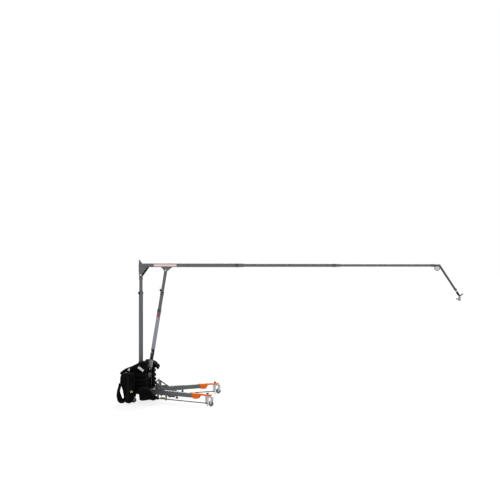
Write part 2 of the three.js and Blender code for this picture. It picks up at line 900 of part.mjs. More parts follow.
// The tilt bolt carries a hand lever on the near side.
function tiltLever() {
  const seat = tiltTongue / 2 + slideFit + tiltEar + fit;
  const bolt = rod("y", tiltBolt, [-seat - tiltEar, seat + tiltEar], [0, 0, 0], pinSides);
  const nut = rod("y", 2 * tiltBolt, [seat, seat + tiltEar], [0, 0, 0], hexSides);
  const shape = new THREE.Shape();
  shape.absarc(0, 0, tiltBolt, Math.PI / 2, (3 * Math.PI) / 2, false);
  shape.lineTo(leverReach, -leverTip / 2);
  shape.lineTo(leverReach, leverTip / 2);
  const lever = standingPlate(shape, [-seat - tiltEar, -seat]);
  return fuse(bolt, nut, lever);
}

// Strut, drawn upright from its foot pin at the origin, with a lug at each end
const footSleeveStart = 36;
const footSleeveEnd = 165;
const footSleeveWall = 5;
const footSocketFloor = 52;
const mainStart = 345;
const mainEnd = 1062;
const footTubeEnd = 730;
const midStart = 800;
const midEnd = 1372;
const upperStart = 1010;
const eyeNeck = 52;
const strutKnobBack = 28;

const strutLength = Math.hypot(
  strutTopX - strutFootX,
  pivotHeight + strutTopRise - strutFootHeight,
);
const strutLean = Math.atan2(strutTopX - strutFootX, pivotHeight + strutTopRise - strutFootHeight);
const strutMid = strutMain - 2 * strutMainWall - 2 * slideFit;
const strutMidBore = strutUpper + 2 * slideFit;

function lug(radius, half, to, [x, z]) {
  const shape = new THREE.Shape();
  const way = Math.sign(to - z);
  shape.moveTo(x + radius, z);
  shape.absarc(x, z, radius, 0, -way * Math.PI, way > 0);
  shape.lineTo(x - radius, to);
  shape.lineTo(x + radius, to);
  return standingPlate(shape, [-half, half]);
}

function strutFoot() {
  const bore = strutMid / 2 + fit;
  const outer = bore + footSleeveWall;
  const sleeve = turned("z", [
    [0, footSleeveStart],
    [outer, footSleeveStart],
    [outer, footSleeveEnd],
    [bore, footSleeveEnd],
    [bore, footSocketFloor],
    [0, footSocketFloor],
  ]);
  const tongue = lug(strutEyeRadius, strutTongue / 2, footSleeveStart + overrun, [0, 0]);
  const hole = pinHole(
    "y",
    strutPin,
    [-strutTongue, strutTongue],
    [0, 0, 0],
  );
  return cut(fuse(sleeve, tongue), hole);
}

function strutFootTube() {
  const wall = strutMid - strutMidBore;
  return pipe("z", strutMid, strutMid - wall, [footSocketFloor + fit, footTubeEnd]);
}

// A strut tube that runs up, with a clamp collar and a knob boss at its mouth.
function strutStage(outer, inner, start, end) {
  const knobZ = end - strutKnobBack;
  const collarDiameter = outer + 2 * clampCollarWall;
  const tube = pipe("z", outer, inner, [start, end]);
  const collar = pipe("z", collarDiameter, inner + clampCollarWall, [end - clampCollar, end]);
  const bored = rod("z", inner, [start - overrun, end + overrun]);
  return cut(
    fuse(tube, collar, boss(collarDiameter, 0, knobZ)),
    bored,
    bossBore(collarDiameter, 0, knobZ),
  );
}

function strutUpperTube() {
  const top = strutLength - eyeNeck;
  const bore = strutUpper - 2 * strutUpperWall;
  const tube = turned("z", [
    [bore / 2, upperStart],
    [strutUpper / 2, upperStart],
    [strutUpper / 2, top - strutUpperWall],
    [strutUpper / 2 - strutUpperWall, top],
    [0, top],
    [0, top - strutUpperWall],
    [bore / 2, top - strutUpperWall],
    [bore / 2, upperStart],
  ]);
  const eye = lug(strutEyeRadius, strutTongue / 2, top - strutUpperWall / 2, [0, strutLength]);
  const hole = pinHole(
    "y",
    strutPin,
    [-strutTongue, strutTongue],
    [0, 0, strutLength],
  );
  return cut(fuse(tube, eye), hole);
}

function strutFootPin() {
  const seat = strutTongue / 2 + slideFit + earThickness + fit;
  const profile = [
    [0, -seat - strutPin / 2],
    [strutPinHead / 2, -seat - strutPin / 2],
    [strutPinHead / 2, -seat],
    [strutPin / 2, -seat],
    [strutPin / 2, seat],
    [strutPinHead / 2, seat],
    [strutPinHead / 2, seat + strutPin / 2],
    [0, seat + strutPin / 2],
  ];
  return turned("y", profile, pinSides).translate(strutFootX, 0, strutFootHeight);
}

// Leg socket: a box tube with two guides for the tie rod, a clamp boss below and a brace above
const guidePlaces = [200, 366];
const guideHalf = 22;
const guideDrop = 20;
const legKnobBack = 24;
const braceStart = 167;
const braceEnd = 345;
const braceRise = 118;
const braceWindowShare = 0.42;

function legSocket() {
  const bottom = legAxis - legSocketHeight / 2;
  const top = legAxis + legSocketHeight / 2;
  const tube = boxTube(
    legSocketWidth,
    legSocketHeight,
    legSocketWall,
    [legSocketStart, legSocketEnd],
    legAxis,
  );
  const guides = guidePlaces.map((x) => block(
    [x - plateThickness / 2, x + plateThickness / 2],
    [-guideHalf, guideHalf],
    [tieRodHeight - guideDrop, bottom + legSocketWall / 2],
  ));
  const rodHole = pinHole(
    "x",
    tieRod,
    [guidePlaces[0] - 2 * overrun, guidePlaces[1] + 2 * overrun],
    [0, 0, tieRodHeight],
  );
  const knobX = legSocketEnd - legKnobBack;
  const clamp = rod(
    "z",
    knobBoss,
    [bottom - knobBossHeight, bottom + legSocketWall / 2],
    [knobX, 0, 0],
    pinSides,
  );
  const clampHole = pinHole(
    "z",
    knobScrew,
    [bottom - knobBossHeight - overrun, legAxis],
    [knobX, 0, 0],
  );
  const high = deckHigh + braceRise;
  const shape = outline([
    [braceStart, top - legSocketWall / 2],
    [braceEnd, top - legSocketWall / 2],
    [braceStart + plateThickness, high],
    [braceStart, high],
  ]);
  const middle = [braceStart + (braceEnd - braceStart) / 3, top + (high - top) / 3];
  shape.holes.push(outline([
    [braceStart, top],
    [braceStart, high],
    [braceEnd, top],
  ].map(([x, z]) => [
    middle[0] + braceWindowShare * (x - middle[0]),
    middle[1] + braceWindowShare * (z - middle[1]),
  ])));
  const brace = standingPlate(shape, [-plateThickness / 2, plateThickness / 2]);
  return cut(fuse(tube, ...guides, clamp, brace), rodHole, clampHole);
}

function legKnob(parent, name) {
  const seat = legAxis - legSocketHeight / 2 - knobBossHeight - fit;
  const screwLength = legAxis - legHeight / 2 - fit - seat;
  const place = group(parent, name + "_axis", [legSocketEnd - legKnobBack, 0, seat]);
  place.rotation.x = Math.PI;
  add(place, name, lobedKnob(screwLength), blackPlastic);
}

// Leg end: an orange saddle over the tube's end with a flat bar that carries the foot
const bracketPlate = 6;
const bracketDrop = 90;
const bracketWebDrop = 76;
const bracketSlopeRear = 47;
const bracketSlopeFront = 62;
const footBarWidth = 50;
const footBarHeight = 25;
const footBarDrop = 3;
const legTubeBack = 80;
const legTubeEnd = bracketEnd - legTubeBack;

const bracketInner = legWidth / 2 + fit;
const bracketOuter = bracketInner + bracketPlate;
const bracketTop = legAxis + legHeight / 2 + fit + bracketPlate;
const footBarTop = bracketTop - footBarDrop;
const footBarLow = footBarTop - footBarHeight;

function legEndBracket() {
  const side = outline([
    [bracketStart, bracketTop],
    [bracketStart + bracketSlopeRear, bracketTop - bracketDrop],
    [bracketEnd - bracketSlopeFront, bracketTop - bracketDrop],
    [bracketEnd, bracketTop],
  ]);
  const plates = [
    standingPlate(side, [-bracketOuter, -bracketInner]),
    standingPlate(side, [bracketInner, bracketOuter]),
  ];
  const lid = block(
    [bracketStart, bracketEnd - bracketPlate],
    [-bracketOuter, bracketOuter],
    [bracketTop - bracketPlate, bracketTop],
  );
  const web = block(
    [legTubeEnd + fit, legTubeEnd + fit + bracketPlate],
    [-bracketOuter, bracketOuter],
    [bracketTop - bracketWebDrop, bracketTop],
  );
  const bar = block(
    [legTubeEnd + fit, footBarEnd],
    [-footBarWidth / 2, footBarWidth / 2],
    [footBarLow, footBarTop],
  );
  const jackHole = pinHole(
    "z",
    jackScrew,
    [footBarLow - overrun, footBarTop + overrun],
    [jackPlace, 0, 0],
  );
  return cut(fuse(...plates, lid, web, bar), jackHole);
}

// Foot: a plate under the bar with the jack's tube, the tie rod's lug and the caster's housing
const jackScrew = 20;
const jackTang = 10;
const jackTube = 34;
const jackTubeLow = 70;
const padRadius = 16;
const padHeight = 10;
const padLow = 4;
const jackGap = 3;
const footPlateStart = 1162;
const footPlateEnd = 1312;
const footPlateHalf = 28;
const lugStart = 1164;
const lugHalf = 20;
const lugLow = 27;

function footBracket() {
  const top = footBarLow - fit;
  const low = top - plateThickness;
  const plate = block([footPlateStart, footPlateEnd], [-footPlateHalf, footPlateHalf], [low, top]);
  const tube = rod("z", jackTube, [jackTubeLow, top], [jackPlace, 0, 0]);
  const lugPlate = block([lugStart, lugStart + plateThickness], [-lugHalf, lugHalf], [lugLow, top]);
  const housing = rod("z", swivelHousing, [casterHeight + fit, top], [casterPlace, 0, 0]);
  const rib = block(
    [jackPlace, casterPlace],
    [-plateThickness / 2, plateThickness / 2],
    [(casterHeight + low) / 2, top],
  );
  const jackHole = pinHole(
    "z",
    jackScrew,
    [jackTubeLow - overrun, top + overrun],
    [jackPlace, 0, 0],
  );
  const stemHole = pinHole(
    "z",
    casterStem,
    [casterHeight - overrun, casterHeight + casterStemLength + fit],
    [casterPlace, 0, 0],
  );
  const rodHole = pinHole(
    "x",
    tieRod,
    [lugStart - overrun, lugStart + plateThickness + overrun],
    [0, 0, tieRodHeight],
  );
  return cut(fuse(plate, tube, lugPlate, housing, rib), jackHole, stemHole, rodHole);
}

function jackScrewSolid() {
  const knobFoot = footBarTop + jackGap;
  return turned("z", [
    [0, padLow],
    [padRadius, padLow],
    [padRadius, padLow + padHeight / 2],
    [jackScrew / 2, padLow + padHeight],
    [jackScrew / 2, knobFoot],
    [jackTang / 2, knobFoot],
    [jackTang / 2, knobFoot + jackKnobHeight],
    [0, knobFoot + jackKnobHeight],
  ], pinSides);
}

// The jack's hand knob, with a bore for the screw's tang.
const jackKnobRadius = 26;
const jackKnobHeight = 24;

function jackKnob() {
  const foot = footBarTop + jackGap + fit;
  const top = foot + jackKnobHeight;
  const grip = flatPlate(lobedRound(jackKnobRadius), [foot, top]);
  const bore = pinHole("z", jackTang, [foot - overrun, top + overrun]);
  return cut(grip, bore);
}

const tieRodStart = 180;
const tieRodNut = 26;

function tieRodSolid() {
  const end = lugStart + plateThickness;
  const profile = [
    [0, tieRodStart],
    [tieRod / 2, tieRodStart],
    [tieRod / 2, lugStart - fit - plateThickness],
    [tieRodNut / 2, lugStart - fit - plateThickness],
    [tieRodNut / 2, lugStart - fit],
    [tieRod / 2, lugStart - fit],
    [tieRod / 2, end],
    [0, end],
  ];
  return turned("x", profile, pinSides).translate(0, 0, tieRodHeight);
}

function leg(side, label) {
  const place = group(root, "leg_" + label, [hubX, side * hubY, 0]);
  place.rotation.z = side * legAngle;
  add(place, "leg_socket_" + label, legSocket(), greyPaint);
  legKnob(place, "leg_lock_knob_" + label);
  const slide = group(place, "leg_slide_" + label, [0, 0, 0]);
  const tube = boxTube(legWidth, legHeight, legWall, [legTubeStart, legTubeEnd], legAxis);
  add(slide, "leg_tube_" + label, tube, greyPaint);
  add(slide, "leg_end_bracket_" + label, legEndBracket(), orangePaint);
  add(slide, "tie_rod_" + label, tieRodSolid(), blackPaint);
  add(slide, "foot_bracket_" + label, footBracket(), zinc);
  const jack = group(slide, "jack_" + label, [jackPlace, 0, 0]);
  add(jack, "jack_screw_" + label, jackScrewSolid(), zinc);
  add(jack, "jack_knob_" + label, jackKnob(), blackPlastic);
  caster(slide, "front_caster_" + label, casterPlace, 0, Math.PI);
}

// Ballast: sandbags, as plain closed forms
const bagInset = 55;
const bagRound = 24;
const slabOverlap = 2;
const bagSide = bagInset + stackDepth;

function stackTop(courses) {
  return deckHigh + fit + courses * courseHeight + slabOverlap;
}

function slabOutline(length) {
  const shape = new THREE.Shape();
  const half = length / 2;
  const deep = stackDepth / 2;
  const round = bagRound * 2;
  shape.absarc(half - round, deep - round, round, 0, Math.PI / 2, false);
  shape.absarc(round - half, deep - round, round, Math.PI / 2, Math.PI, false);
  shape.absarc(round - half, round - deep, round, Math.PI, 1.5 * Math.PI, false);
  shape.absarc(half - round, round - deep, round, 1.5 * Math.PI, 2 * Math.PI, false);
  return shape;
}

// A stack of flat bags, each pressed into the next.
function bagStack(side, [x0, x1], courses) {
  const slabs = [];
  for (let i = 0; i < courses; i++) {
    const geometry = new THREE.ExtrudeGeometry(slabOutline(x1 - x0), {
      depth: courseHeight + slabOverlap - bagRound,
      bevelThickness: bagRound / 2,
      bevelSize: bagRound / 2,
      bevelOffset: -bagRound / 2,
      bevelSegments: 1,
      curveSegments: 1,
    });
    geometry.translate(
      (x0 + x1) / 2,
      side * (bagInset + stackDepth / 2),
      deckHigh + fit + i * courseHeight + bagRound / 2,
    );
    slabs.push(geometry);
  }
  return fuse(...slabs);
}

// A smooth closed outline in X and Z through points that are given by shares of its box.
function lobeOutline(shares, [x0, x1], [z0, z1]) {
  const points = shares.map(
    ([x, z]) => new THREE.Vector3(x0 + x * (x1 - x0), z0 + z * (z1 - z0), 0),
  );
  const curve = new THREE.CatmullRomCurve3(points, true);
  return new THREE.Shape(curve.getPoints(2 * shares.length).slice(1));
}

// The bag draped over the near stack: it hangs down over the stack's rear end.
const nearCapSeatShare = 0.22;
const nearCapShares = [
  [0, 0.139],
  [0.037, 0.048],
  [0.101, 0],
  [0.154, 0.064],
  [0.179, 0.175],
  [0.228, 0.25],
  [0.363, nearCapSeatShare],
  [0.548, nearCapSeatShare],
  [0.795, nearCapSeatShare],
  [0.951, 0.25],
  [0.992, 0.351],
  [1, 0.669],
  [0.992, 0.876],
  [0.947, 0.976],
  [0.858, 1],
  [0.754, 0.956],
  [0.667, 0.888],
  [0.561, 0.773],
  [0.384, 0.59],
  [0.261, 0.506],
  [0.15, 0.41],
  [0.055, 0.271],
];
const nearCapSpan = [-327, 160];
const nearCapRise = 196;
const nearCapDepth = 235;

// The bag on the far stack: it hangs down over the stack's front end.
const farCapSeatShare = 0.466;
const farCapShares = [
  [0, 0.684],
  [0.04, 0.53],
  [0.134, 0.475],
  [0.25, farCapSeatShare],
  [0.53, farCapSeatShare],
  [0.7, 0.495],
  [0.785, 0.4],
  [0.8, 0.15],
  [0.845, 0],
  [0.926, 0.042],
  [0.98, 0.189],
  [1, 0.358],
  [0.876, 0.558],
  [0.644, 0.811],
  [0.47, 0.937],
  [0.282, 1],
  [0.094, 0.958],
];
const farCapSpan = [20, 318];
const farCapRise = 101;
const farCapDepth = 250;
const capRound = 14;

// A bag that lies on a stack. The seat's share is where its box meets the stack's top.
function capBag(shares, seatShare, span, rise, [y0, y1], courses) {
  const seat = stackTop(courses) + 4 * fit;
  const drop = (rise * seatShare) / (1 - seatShare);
  return pillow(lobeOutline(shares, span, [seat - drop, seat + rise]), [y0, y1], capRound);
}

// The saddlebag on the near side: a pouch and a long lobe that hang from a flap on the stack.
const pouchShares = [
  [0, 0.63],
  [0.191, 0.502],
  [0.295, 0.247],
  [0.271, 0.062],
  [0.458, 0.01],
  [0.753, 0],
  [0.882, 0.062],
  [0.941, 0.29],
  [1, 0.767],
  [0.906, 0.961],
  [0.594, 1],
  [0.247, 0.977],
  [0.045, 0.844],
];
const longLobeShares = [
  [0.44, 1],
  [0.22, 0.93],
  [0.03, 0.7],
  [0, 0.38],
  [0.16, 0.12],
  [0.42, 0],
  [0.8, 0],
  [1, 0.08],
  [0.93, 0.2],
  [0.66, 0.3],
  [0.55, 0.6],
  [0.6, 0.88],
];
const pouchSpan = [-291, -3];
const longLobeSpan = [-332, -205];
const longLobeTop = 340;
const saddleFloor = 6;
const pouchDepth = 108;
const pouchStand = 59;
const flapThickness = 14;
const flapReach = 41;
const flapSpan = [-205, -35];
const backLow = 220;

function saddleBag() {
  const seat = stackTop(nearCourses) + fit;
  const top = seat + flapThickness;
  const inner = -bagSide - pouchStand;
  const depth = [inner - pouchDepth, inner];
  const pouch = pillow(lobeOutline(pouchShares, pouchSpan, [saddleFloor, top]), depth, capRound);
  const lobeBox = [saddleFloor, longLobeTop];
  const lobe = pillow(lobeOutline(longLobeShares, longLobeSpan, lobeBox), depth, capRound);
  const back = block(flapSpan, [inner - bagRound, -bagSide - fit], [backLow, top]);
  const flap = block(flapSpan, [-bagSide - pouchStand / 2, flapReach - bagSide], [seat, top]);
  return fuse(pouch, lobe, back, flap);
}

// The long bag that hangs low on the near side, in front of the saddlebag.
const sideBagShares = [
  [0, 0.784],
  [0.011, 0.537],
  [0.098, 0.424],
  [0.115, 0.069],
  [0.213, 0],
  [0.432, 0.026],
  [0.623, 0.061],
  [0.76, 0.017],
  [0.956, 0.13],
  [1, 0.251],
  [0.896, 0.398],
  [0.749, 0.494],
  [0.672, 0.727],
  [0.527, 0.944],
  [0.24, 1],
  [0.071, 0.97],
];
const sideBagSpan = [22, 388];
const sideBagRise = [54, 285];
const sideBackSpan = [58, 150];
const sideBackRise = [222, 274];

function sideBag() {
  const inner = -bagSide - pouchStand;
  const outline = lobeOutline(sideBagShares, sideBagSpan, sideBagRise);
  const bag = pillow(outline, [inner - pouchDepth, inner], capRound);
  const back = block(sideBackSpan, [inner - bagRound, -bagSide - fit], sideBackRise);
  return fuse(bag, back);
}

// Base group
add(root, "chassis_frame", chassisFrame(), blackPaint);
add(root, "mast_outer_tube", mastOuterTube(), greyPaint);
add(root, "strut_foot_pin", strutFootPin(), zinc);
const pinPlace = group(root, "mast_pull_pin_axis", [0, 0, pullPinHeight]);
pinPlace.rotation.z = pullPinAngle;
add(pinPlace, "mast_pull_pin", pullPinSolid(), blackPlastic);
for (const [side, label] of [[-1, "near"], [1, "far"]]) {
  caster(root, "rear_caster_" + label, rearCasterX, side * rearCasterY, Math.PI);
  leg(side, label);
}
add(root, "ballast_stack_near", bagStack(-1, nearStackSpan, nearCourses), bagCloth);
add(root, "ballast_stack_far", bagStack(1, farStackSpan, farCourses), bagCloth);
const nearCap = capBag(
  nearCapShares,
  nearCapSeatShare,
  nearCapSpan,
  nearCapRise,
  [-bagInset - nearCapDepth, -bagInset],
  nearCourses,
);
add(root, "ballast_cap_near", nearCap, bagCloth);
const farCap = capBag(
  farCapShares,
  farCapSeatShare,
  farCapSpan,
  farCapRise,
  [bagInset, bagInset + farCapDepth],
  farCourses,
);
add(root, "ballast_cap_far", farCap, bagCloth);
add(root, "ballast_saddle", saddleBag(), bagCloth);
add(root, "ballast_side_bag", sideBag(), bagCloth);

// Mast and boom groups
const mast = group(root, "mast", [0, 0, pivotHeight]);
add(mast, "mast_inner_tube", mastInnerTube(), greyPaint);
add(mast, "mast_head", mastHead(), greyPaint);
add(mast, "boom_pivot_bolt", pivotBoltSolid(), zinc);

const knobBack = 107;
const lastKnobBack = 23;
const boom = group(mast, "boom", [0, 0, 0]);
const stageOne = boomStage(
  boomOne,
  boomTwo + 2 * slideFit,
  -boomTail,
  reachOne,
  reachOne - knobBack,
);
add(boom, "boom_section_1", stageOne, greyPaint);
add(boom, "boom_bracket", boomBracket(), greyPaint);
add(boom, "boom_brace_strap", braceStrap(), blackPaint);
add(boom, "strut_bracket", strutBracket(), greyPaint);
const collarOne = boomOne + 2 * clampCollarWall;
sideKnob(boom, "boom_knob_1", collarOne, boomTwo, reachOne - knobBack, boomRise);

const stageTwo = boomStage(
  boomTwo,
  boomThree + 2 * slideFit,
  reachOne - boomOverlap,
  reachTwo,
  reachTwo - knobBack,
);
const boomSlideTwo = group(boom, "boom_slide_2", [0, 0, 0]);
add(boomSlideTwo, "boom_section_2", stageTwo, greyPaint);
const collarTwo = boomTwo + 2 * clampCollarWall;
sideKnob(boomSlideTwo, "boom_knob_2", collarTwo, boomThree, reachTwo - knobBack, boomRise);

const stageThree = boomStage(
  boomThree,
  gooseneckTube + 2 * slideFit,
  reachTwo - boomOverlap,
  reachThree,
  reachThree - lastKnobBack,
);
const boomSlideThree = group(boomSlideTwo, "boom_slide_3", [0, 0, 0]);
add(boomSlideThree, "boom_section_3", stageThree, greyPaint);
const collarThree = boomThree + 2 * clampCollarWall;
sideKnob(
  boomSlideThree,
  "boom_knob_3",
  collarThree,
  gooseneckTube,
  reachThree - lastKnobBack,
  boomRise,
);

const gooseneck = group(boomSlideThree, "gooseneck", [elbowReach, 0, boomRise]);
add(gooseneck, "gooseneck_arm", gooseneckArm(), greyPaint);
const drop = group(gooseneck, "drop", [0, 0, 0]);
drop.rotation.y = dropAngle;
sideKnob(drop, "gooseneck_knob", gooseneckTube, spudDiameter, dropLength - dropKnobBack, 0);
const hanger = group(drop, "hanger", [dropLength, 0, 0]);
add(hanger, "drop_spud", dropSpud(), zinc);
add(hanger, "swivel_coupler", swivelCoupler(), blackPaint);
const tilt = group(hanger, "tilt", [tiltPlace, 0, 0]);
tilt.rotation.y = -dropAngle;
add(tilt, "receiver", receiverSolid(), zinc);
const leverPlace = group(tilt, "tilt_lever_axis", [0, 0, 0]);
leverPlace.rotation.y = -leverAngle;
add(leverPlace, "tilt_lever", tiltLever(), blackPaint);
const handlePlace = group(tilt, "receiver_handle_axis", [0, 0, -handleHeight]);
add(handlePlace, "receiver_t_handle", receiverHandle(), blackPaint);

// Strut group
const strut = group(root, "strut", [strutFootX, 0, strutFootHeight]);
strut.rotation.y = strutLean;
add(strut, "strut_foot", strutFoot(), greyPaint);
add(strut, "strut_foot_tube", strutFootTube(), blackPaint);
const strutSlide = group(strut, "strut_slide", [0, 0, 0]);
const mainBore = strutMain - 2 * strutMainWall;
add(strutSlide, "strut_main_tube", strutStage(strutMain, mainBore, mainStart, mainEnd), greyPaint);
const mainCollar = strutMain + 2 * clampCollarWall;
sideKnob(strutSlide, "strut_main_knob", mainCollar, strutMid, 0, mainEnd - strutKnobBack);
const midTube = strutStage(strutMid, strutMidBore, midStart, midEnd);
const strutMidSlide = group(strutSlide, "strut_mid_slide", [0, 0, 0]);
add(strutMidSlide, "strut_mid_tube", midTube, greyPaint);
const midCollar = strutMid + 2 * clampCollarWall;
sideKnob(strutMidSlide, "strut_mid_knob", midCollar, strutUpper, 0, midEnd - strutKnobBack);
const strutUpperSlide = group(strutMidSlide, "strut_upper_slide", [0, 0, 0]);
add(strutUpperSlide, "strut_upper_tube", strutUpperTube(), greyPaint);

// The part stands on the floor, centred over the middle of its box.
root.updateMatrixWorld(true);
const box = new THREE.Box3().setFromObject(root, true);
root.position.set(-(box.min.x + box.max.x) / 2, -(box.min.y + box.max.y) / 2, -box.min.z);
root.updateMatrixWorld(true);

export default root;
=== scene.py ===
import json

import bmesh
import bpy
import numpy as np
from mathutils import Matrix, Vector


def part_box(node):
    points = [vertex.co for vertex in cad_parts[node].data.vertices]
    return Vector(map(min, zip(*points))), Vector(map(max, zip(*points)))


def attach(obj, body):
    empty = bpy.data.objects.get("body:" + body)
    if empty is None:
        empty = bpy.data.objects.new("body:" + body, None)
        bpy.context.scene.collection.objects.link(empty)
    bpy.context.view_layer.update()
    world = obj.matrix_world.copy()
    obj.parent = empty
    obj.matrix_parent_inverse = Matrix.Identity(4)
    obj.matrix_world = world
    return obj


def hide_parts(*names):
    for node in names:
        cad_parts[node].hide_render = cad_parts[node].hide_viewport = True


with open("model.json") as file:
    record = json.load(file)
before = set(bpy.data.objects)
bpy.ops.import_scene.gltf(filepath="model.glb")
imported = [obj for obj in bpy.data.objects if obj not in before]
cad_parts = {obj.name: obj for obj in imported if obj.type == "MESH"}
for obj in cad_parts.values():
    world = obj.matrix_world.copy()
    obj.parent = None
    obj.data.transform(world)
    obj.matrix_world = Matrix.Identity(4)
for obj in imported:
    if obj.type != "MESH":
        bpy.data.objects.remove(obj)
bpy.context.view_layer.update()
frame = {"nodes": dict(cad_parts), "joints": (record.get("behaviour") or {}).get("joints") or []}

# An overhead boom arm on a ballasted rolling base. Metres, +Z up, the boom runs along +X.
TAU = 2 * np.pi
X, Y, Z = np.eye(3)
OUT = -Y  # the side that the clamp knobs face


# ---------------------------------------------------------------- places

def unit(v):
    """A vector divided by its own length."""
    v = np.asarray(v, float)
    return v / np.linalg.norm(v)


class Place:
    """An origin with three directions. A point (a, b, c) goes to origin + a x + b y + c z, where y = z cross x."""

    def __init__(self, origin, x=X, z=Z):
        x = unit(x)
        z = unit(np.asarray(z, float) - np.dot(z, x) * x)
        self.origin = np.asarray(origin, float)
        self.axes = np.stack([x, np.cross(z, x), z])

    def __call__(self, points):
        return np.asarray(points, float) @ self.axes + self.origin

    def at(self, x=0.0, y=0.0, z=0.0):
        """The same directions from another origin, given in this place's own directions."""
        return Place(self((x, y, z)), self.axes[0], self.axes[2])

    def facing(self, x, z):
        """The same origin with new directions, given in this place's own directions."""
        return Place(self.origin, np.asarray(x, float) @ self.axes, np.asarray(z, float) @ self.axes)

    def standing(self):
        """Outlines drawn in x and y stand up in this place's x and z, and thickness runs along -y."""
        return self.facing((1, 0, 0), (0, -1, 0))


JOINTS = {joint["name"]: joint for joint in frame["joints"]}


def spot(joint):
    """Where a joint is."""
    return np.array(JOINTS[joint]["pos_m"], float)


def axis_of(joint):
    """Which way a joint's axis runs."""
    return np.array(JOINTS[joint]["axis"], float)


PIVOT = Place(spot("boom_luff"))
BASE = Place(PIVOT.origin * (1, 1, 0))
MAST = BASE.facing((0, 0, 1), (1, 0, 0))  # its x runs up the mast
DROP = Place(spot("coupler_swivel"), axis_of("coupler_swivel"))
TILT = Place(spot("receiver_tilt"))
STRUT = Place(spot("strut_swing"), axis_of("strut_main_run"), -X)
SIDES = {"near": -1, "far": 1}
CASTER_REACH = 1.284  # from where a leg's line starts to its caster's swivel
LEGS = {
    side: Place(spot(f"front_caster_{side}_swivel") * (1, 1, 0) - CASTER_REACH * axis_of(f"leg_{side}_run"),
                axis_of(f"leg_{side}_run"))
    for side in SIDES
}


# ---------------------------------------------------------------- surfaces

class Skin:
    """A grid of points as quads. Rows or columns that are round join their last line to their first.
    The flat place of a corner is its running length along the columns and along the rows, in metres.
    Faces are turned so that the sum of normal times offset from the centre is positive, which is outward."""

    def __init__(self, grid, round_rows=False, round_cols=True, centre=None, caps=False):
        grid = np.asarray(grid, float)
        rows, cols = grid.shape[:2]
        r = np.arange(rows if round_rows else rows - 1)[:, None]
        c = np.arange(cols if round_cols else cols - 1)[None, :]
        r1, c1 = (r + 1) % rows, (c + 1) % cols
        corner = [r * cols + c, r * cols + c1, r1 * cols + c1, r1 * cols + c]
        self.quads = np.stack(corner, -1).reshape(-1, 4)
        self.points = grid.reshape(-1, 3)
        steps_u = np.linalg.norm(np.roll(grid, -1, 1) - grid, axis=2).max(0)
        steps_v = np.linalg.norm(np.roll(grid, -1, 0) - grid, axis=2).max(1)
        u = np.concatenate([[0], np.cumsum(steps_u)])
        v = np.concatenate([[0], np.cumsum(steps_v)])
        across = [np.broadcast_to(a, corner[0].shape) for a in (u[c], u[c + 1], u[c + 1], u[c])]
        down = [np.broadcast_to(a, corner[0].shape) for a in (v[r], v[r], v[r + 1], v[r + 1])]
        self.flat = np.stack([np.stack(across, -1), np.stack(down, -1)], -1).reshape(-1, 4, 2)
        self.caps = []
        if caps:
            first, last = np.arange(cols), (rows - 1) * cols + np.arange(cols)
            self.caps = [first[::-1], last]
        self.face_away(self.points.mean(0) if centre is None else centre)

    def face_away(self, middles):
        """Turns the skin over if its faces, on the whole, look towards the middles."""
        q = self.points[self.quads]
        normal = np.cross(q[:, 2] - q[:, 0], q[:, 3] - q[:, 1])
        if (normal * (q.mean(1) - middles)).sum() < 0:
            self.turn_over()

    def turn_over(self):
        """Makes every face look the other way."""
        self.quads, self.flat = self.quads[:, ::-1], self.flat[:, ::-1]
        self.caps = [cap[::-1] for cap in self.caps]


def eased(corners, radius, closed=True, steps=3, held=True):
    """Rounds the corners of a flat line. Near corner p it follows (1-s)^2 a + 2 s (1-s) p + s^2 b, with a and b
    radius away from p along its two edges. Held corners get one more point on each edge, which keeps flats flat."""
    p = np.asarray(corners, float)
    to_a, to_b = np.roll(p, 1, 0) - p, np.roll(p, -1, 0) - p
    la, lb = np.linalg.norm(to_a, axis=1), np.linalg.norm(to_b, axis=1)
    t = np.minimum(np.broadcast_to(radius, len(p)), 0.3 * np.minimum(la, lb))
    ua, ub = to_a / la[:, None], to_b / lb[:, None]
    s = np.linspace(0, 1, steps + 1)[None, :, None]
    a, b = p + ua * t[:, None], p + ub * t[:, None]
    curve = (1 - s) ** 2 * a[:, None] + 2 * s * (1 - s) * p[:, None] + s ** 2 * b[:, None]
    if held:
        curve = np.concatenate([(p + 1.5 * ua * t[:, None])[:, None], curve,
                                (p + 1.5 * ub * t[:, None])[:, None]], 1)
    if closed:
        return curve.reshape(-1, 2)
    inner = curve[1:-1].reshape(-1, 2)
    return np.concatenate([p[:1], inner, p[-1:]])


def turned(place, profile, ease=0.0012, hollow=False, sides=48, swell=None):
    """A profile of (x, radius) turned round the place's x: (x, r cos f, r sin f). A hollow profile is a closed ring.
    swell(f, x), where given, multiplies the radius."""
    line = eased(profile, ease, closed=hollow)
    f = np.linspace(0, TAU, sides, endpoint=False)
    x, r = line[:, :1], line[:, 1:]
    if swell is not None:
        r = r * swell(f[None, :], x)
    r = np.broadcast_to(r, (len(line), sides))
    grid = np.stack([np.broadcast_to(x, r.shape), r * np.cos(f), r * np.sin(f)], -1)
    return Skin(place(grid), round_rows=hollow)


def tube(place, start, end, outer, inner, ease=0.0012, sides=48):
    """A round tube along the place's x, by its outer and inner diameters."""
    a, b = outer / 2, inner / 2
    return turned(place, [(start, b), (start, a), (end, a), (end, b)], ease, hollow=True, sides=sides)


def rod(place, start, end, diameter, ease=0.0012, sides=32):
    """A solid round bar along the place's x, with broken edges."""
    r = diameter / 2
    return turned(place, [(start, 0), (start, r), (end, r), (end, 0)], ease, sides=sides)


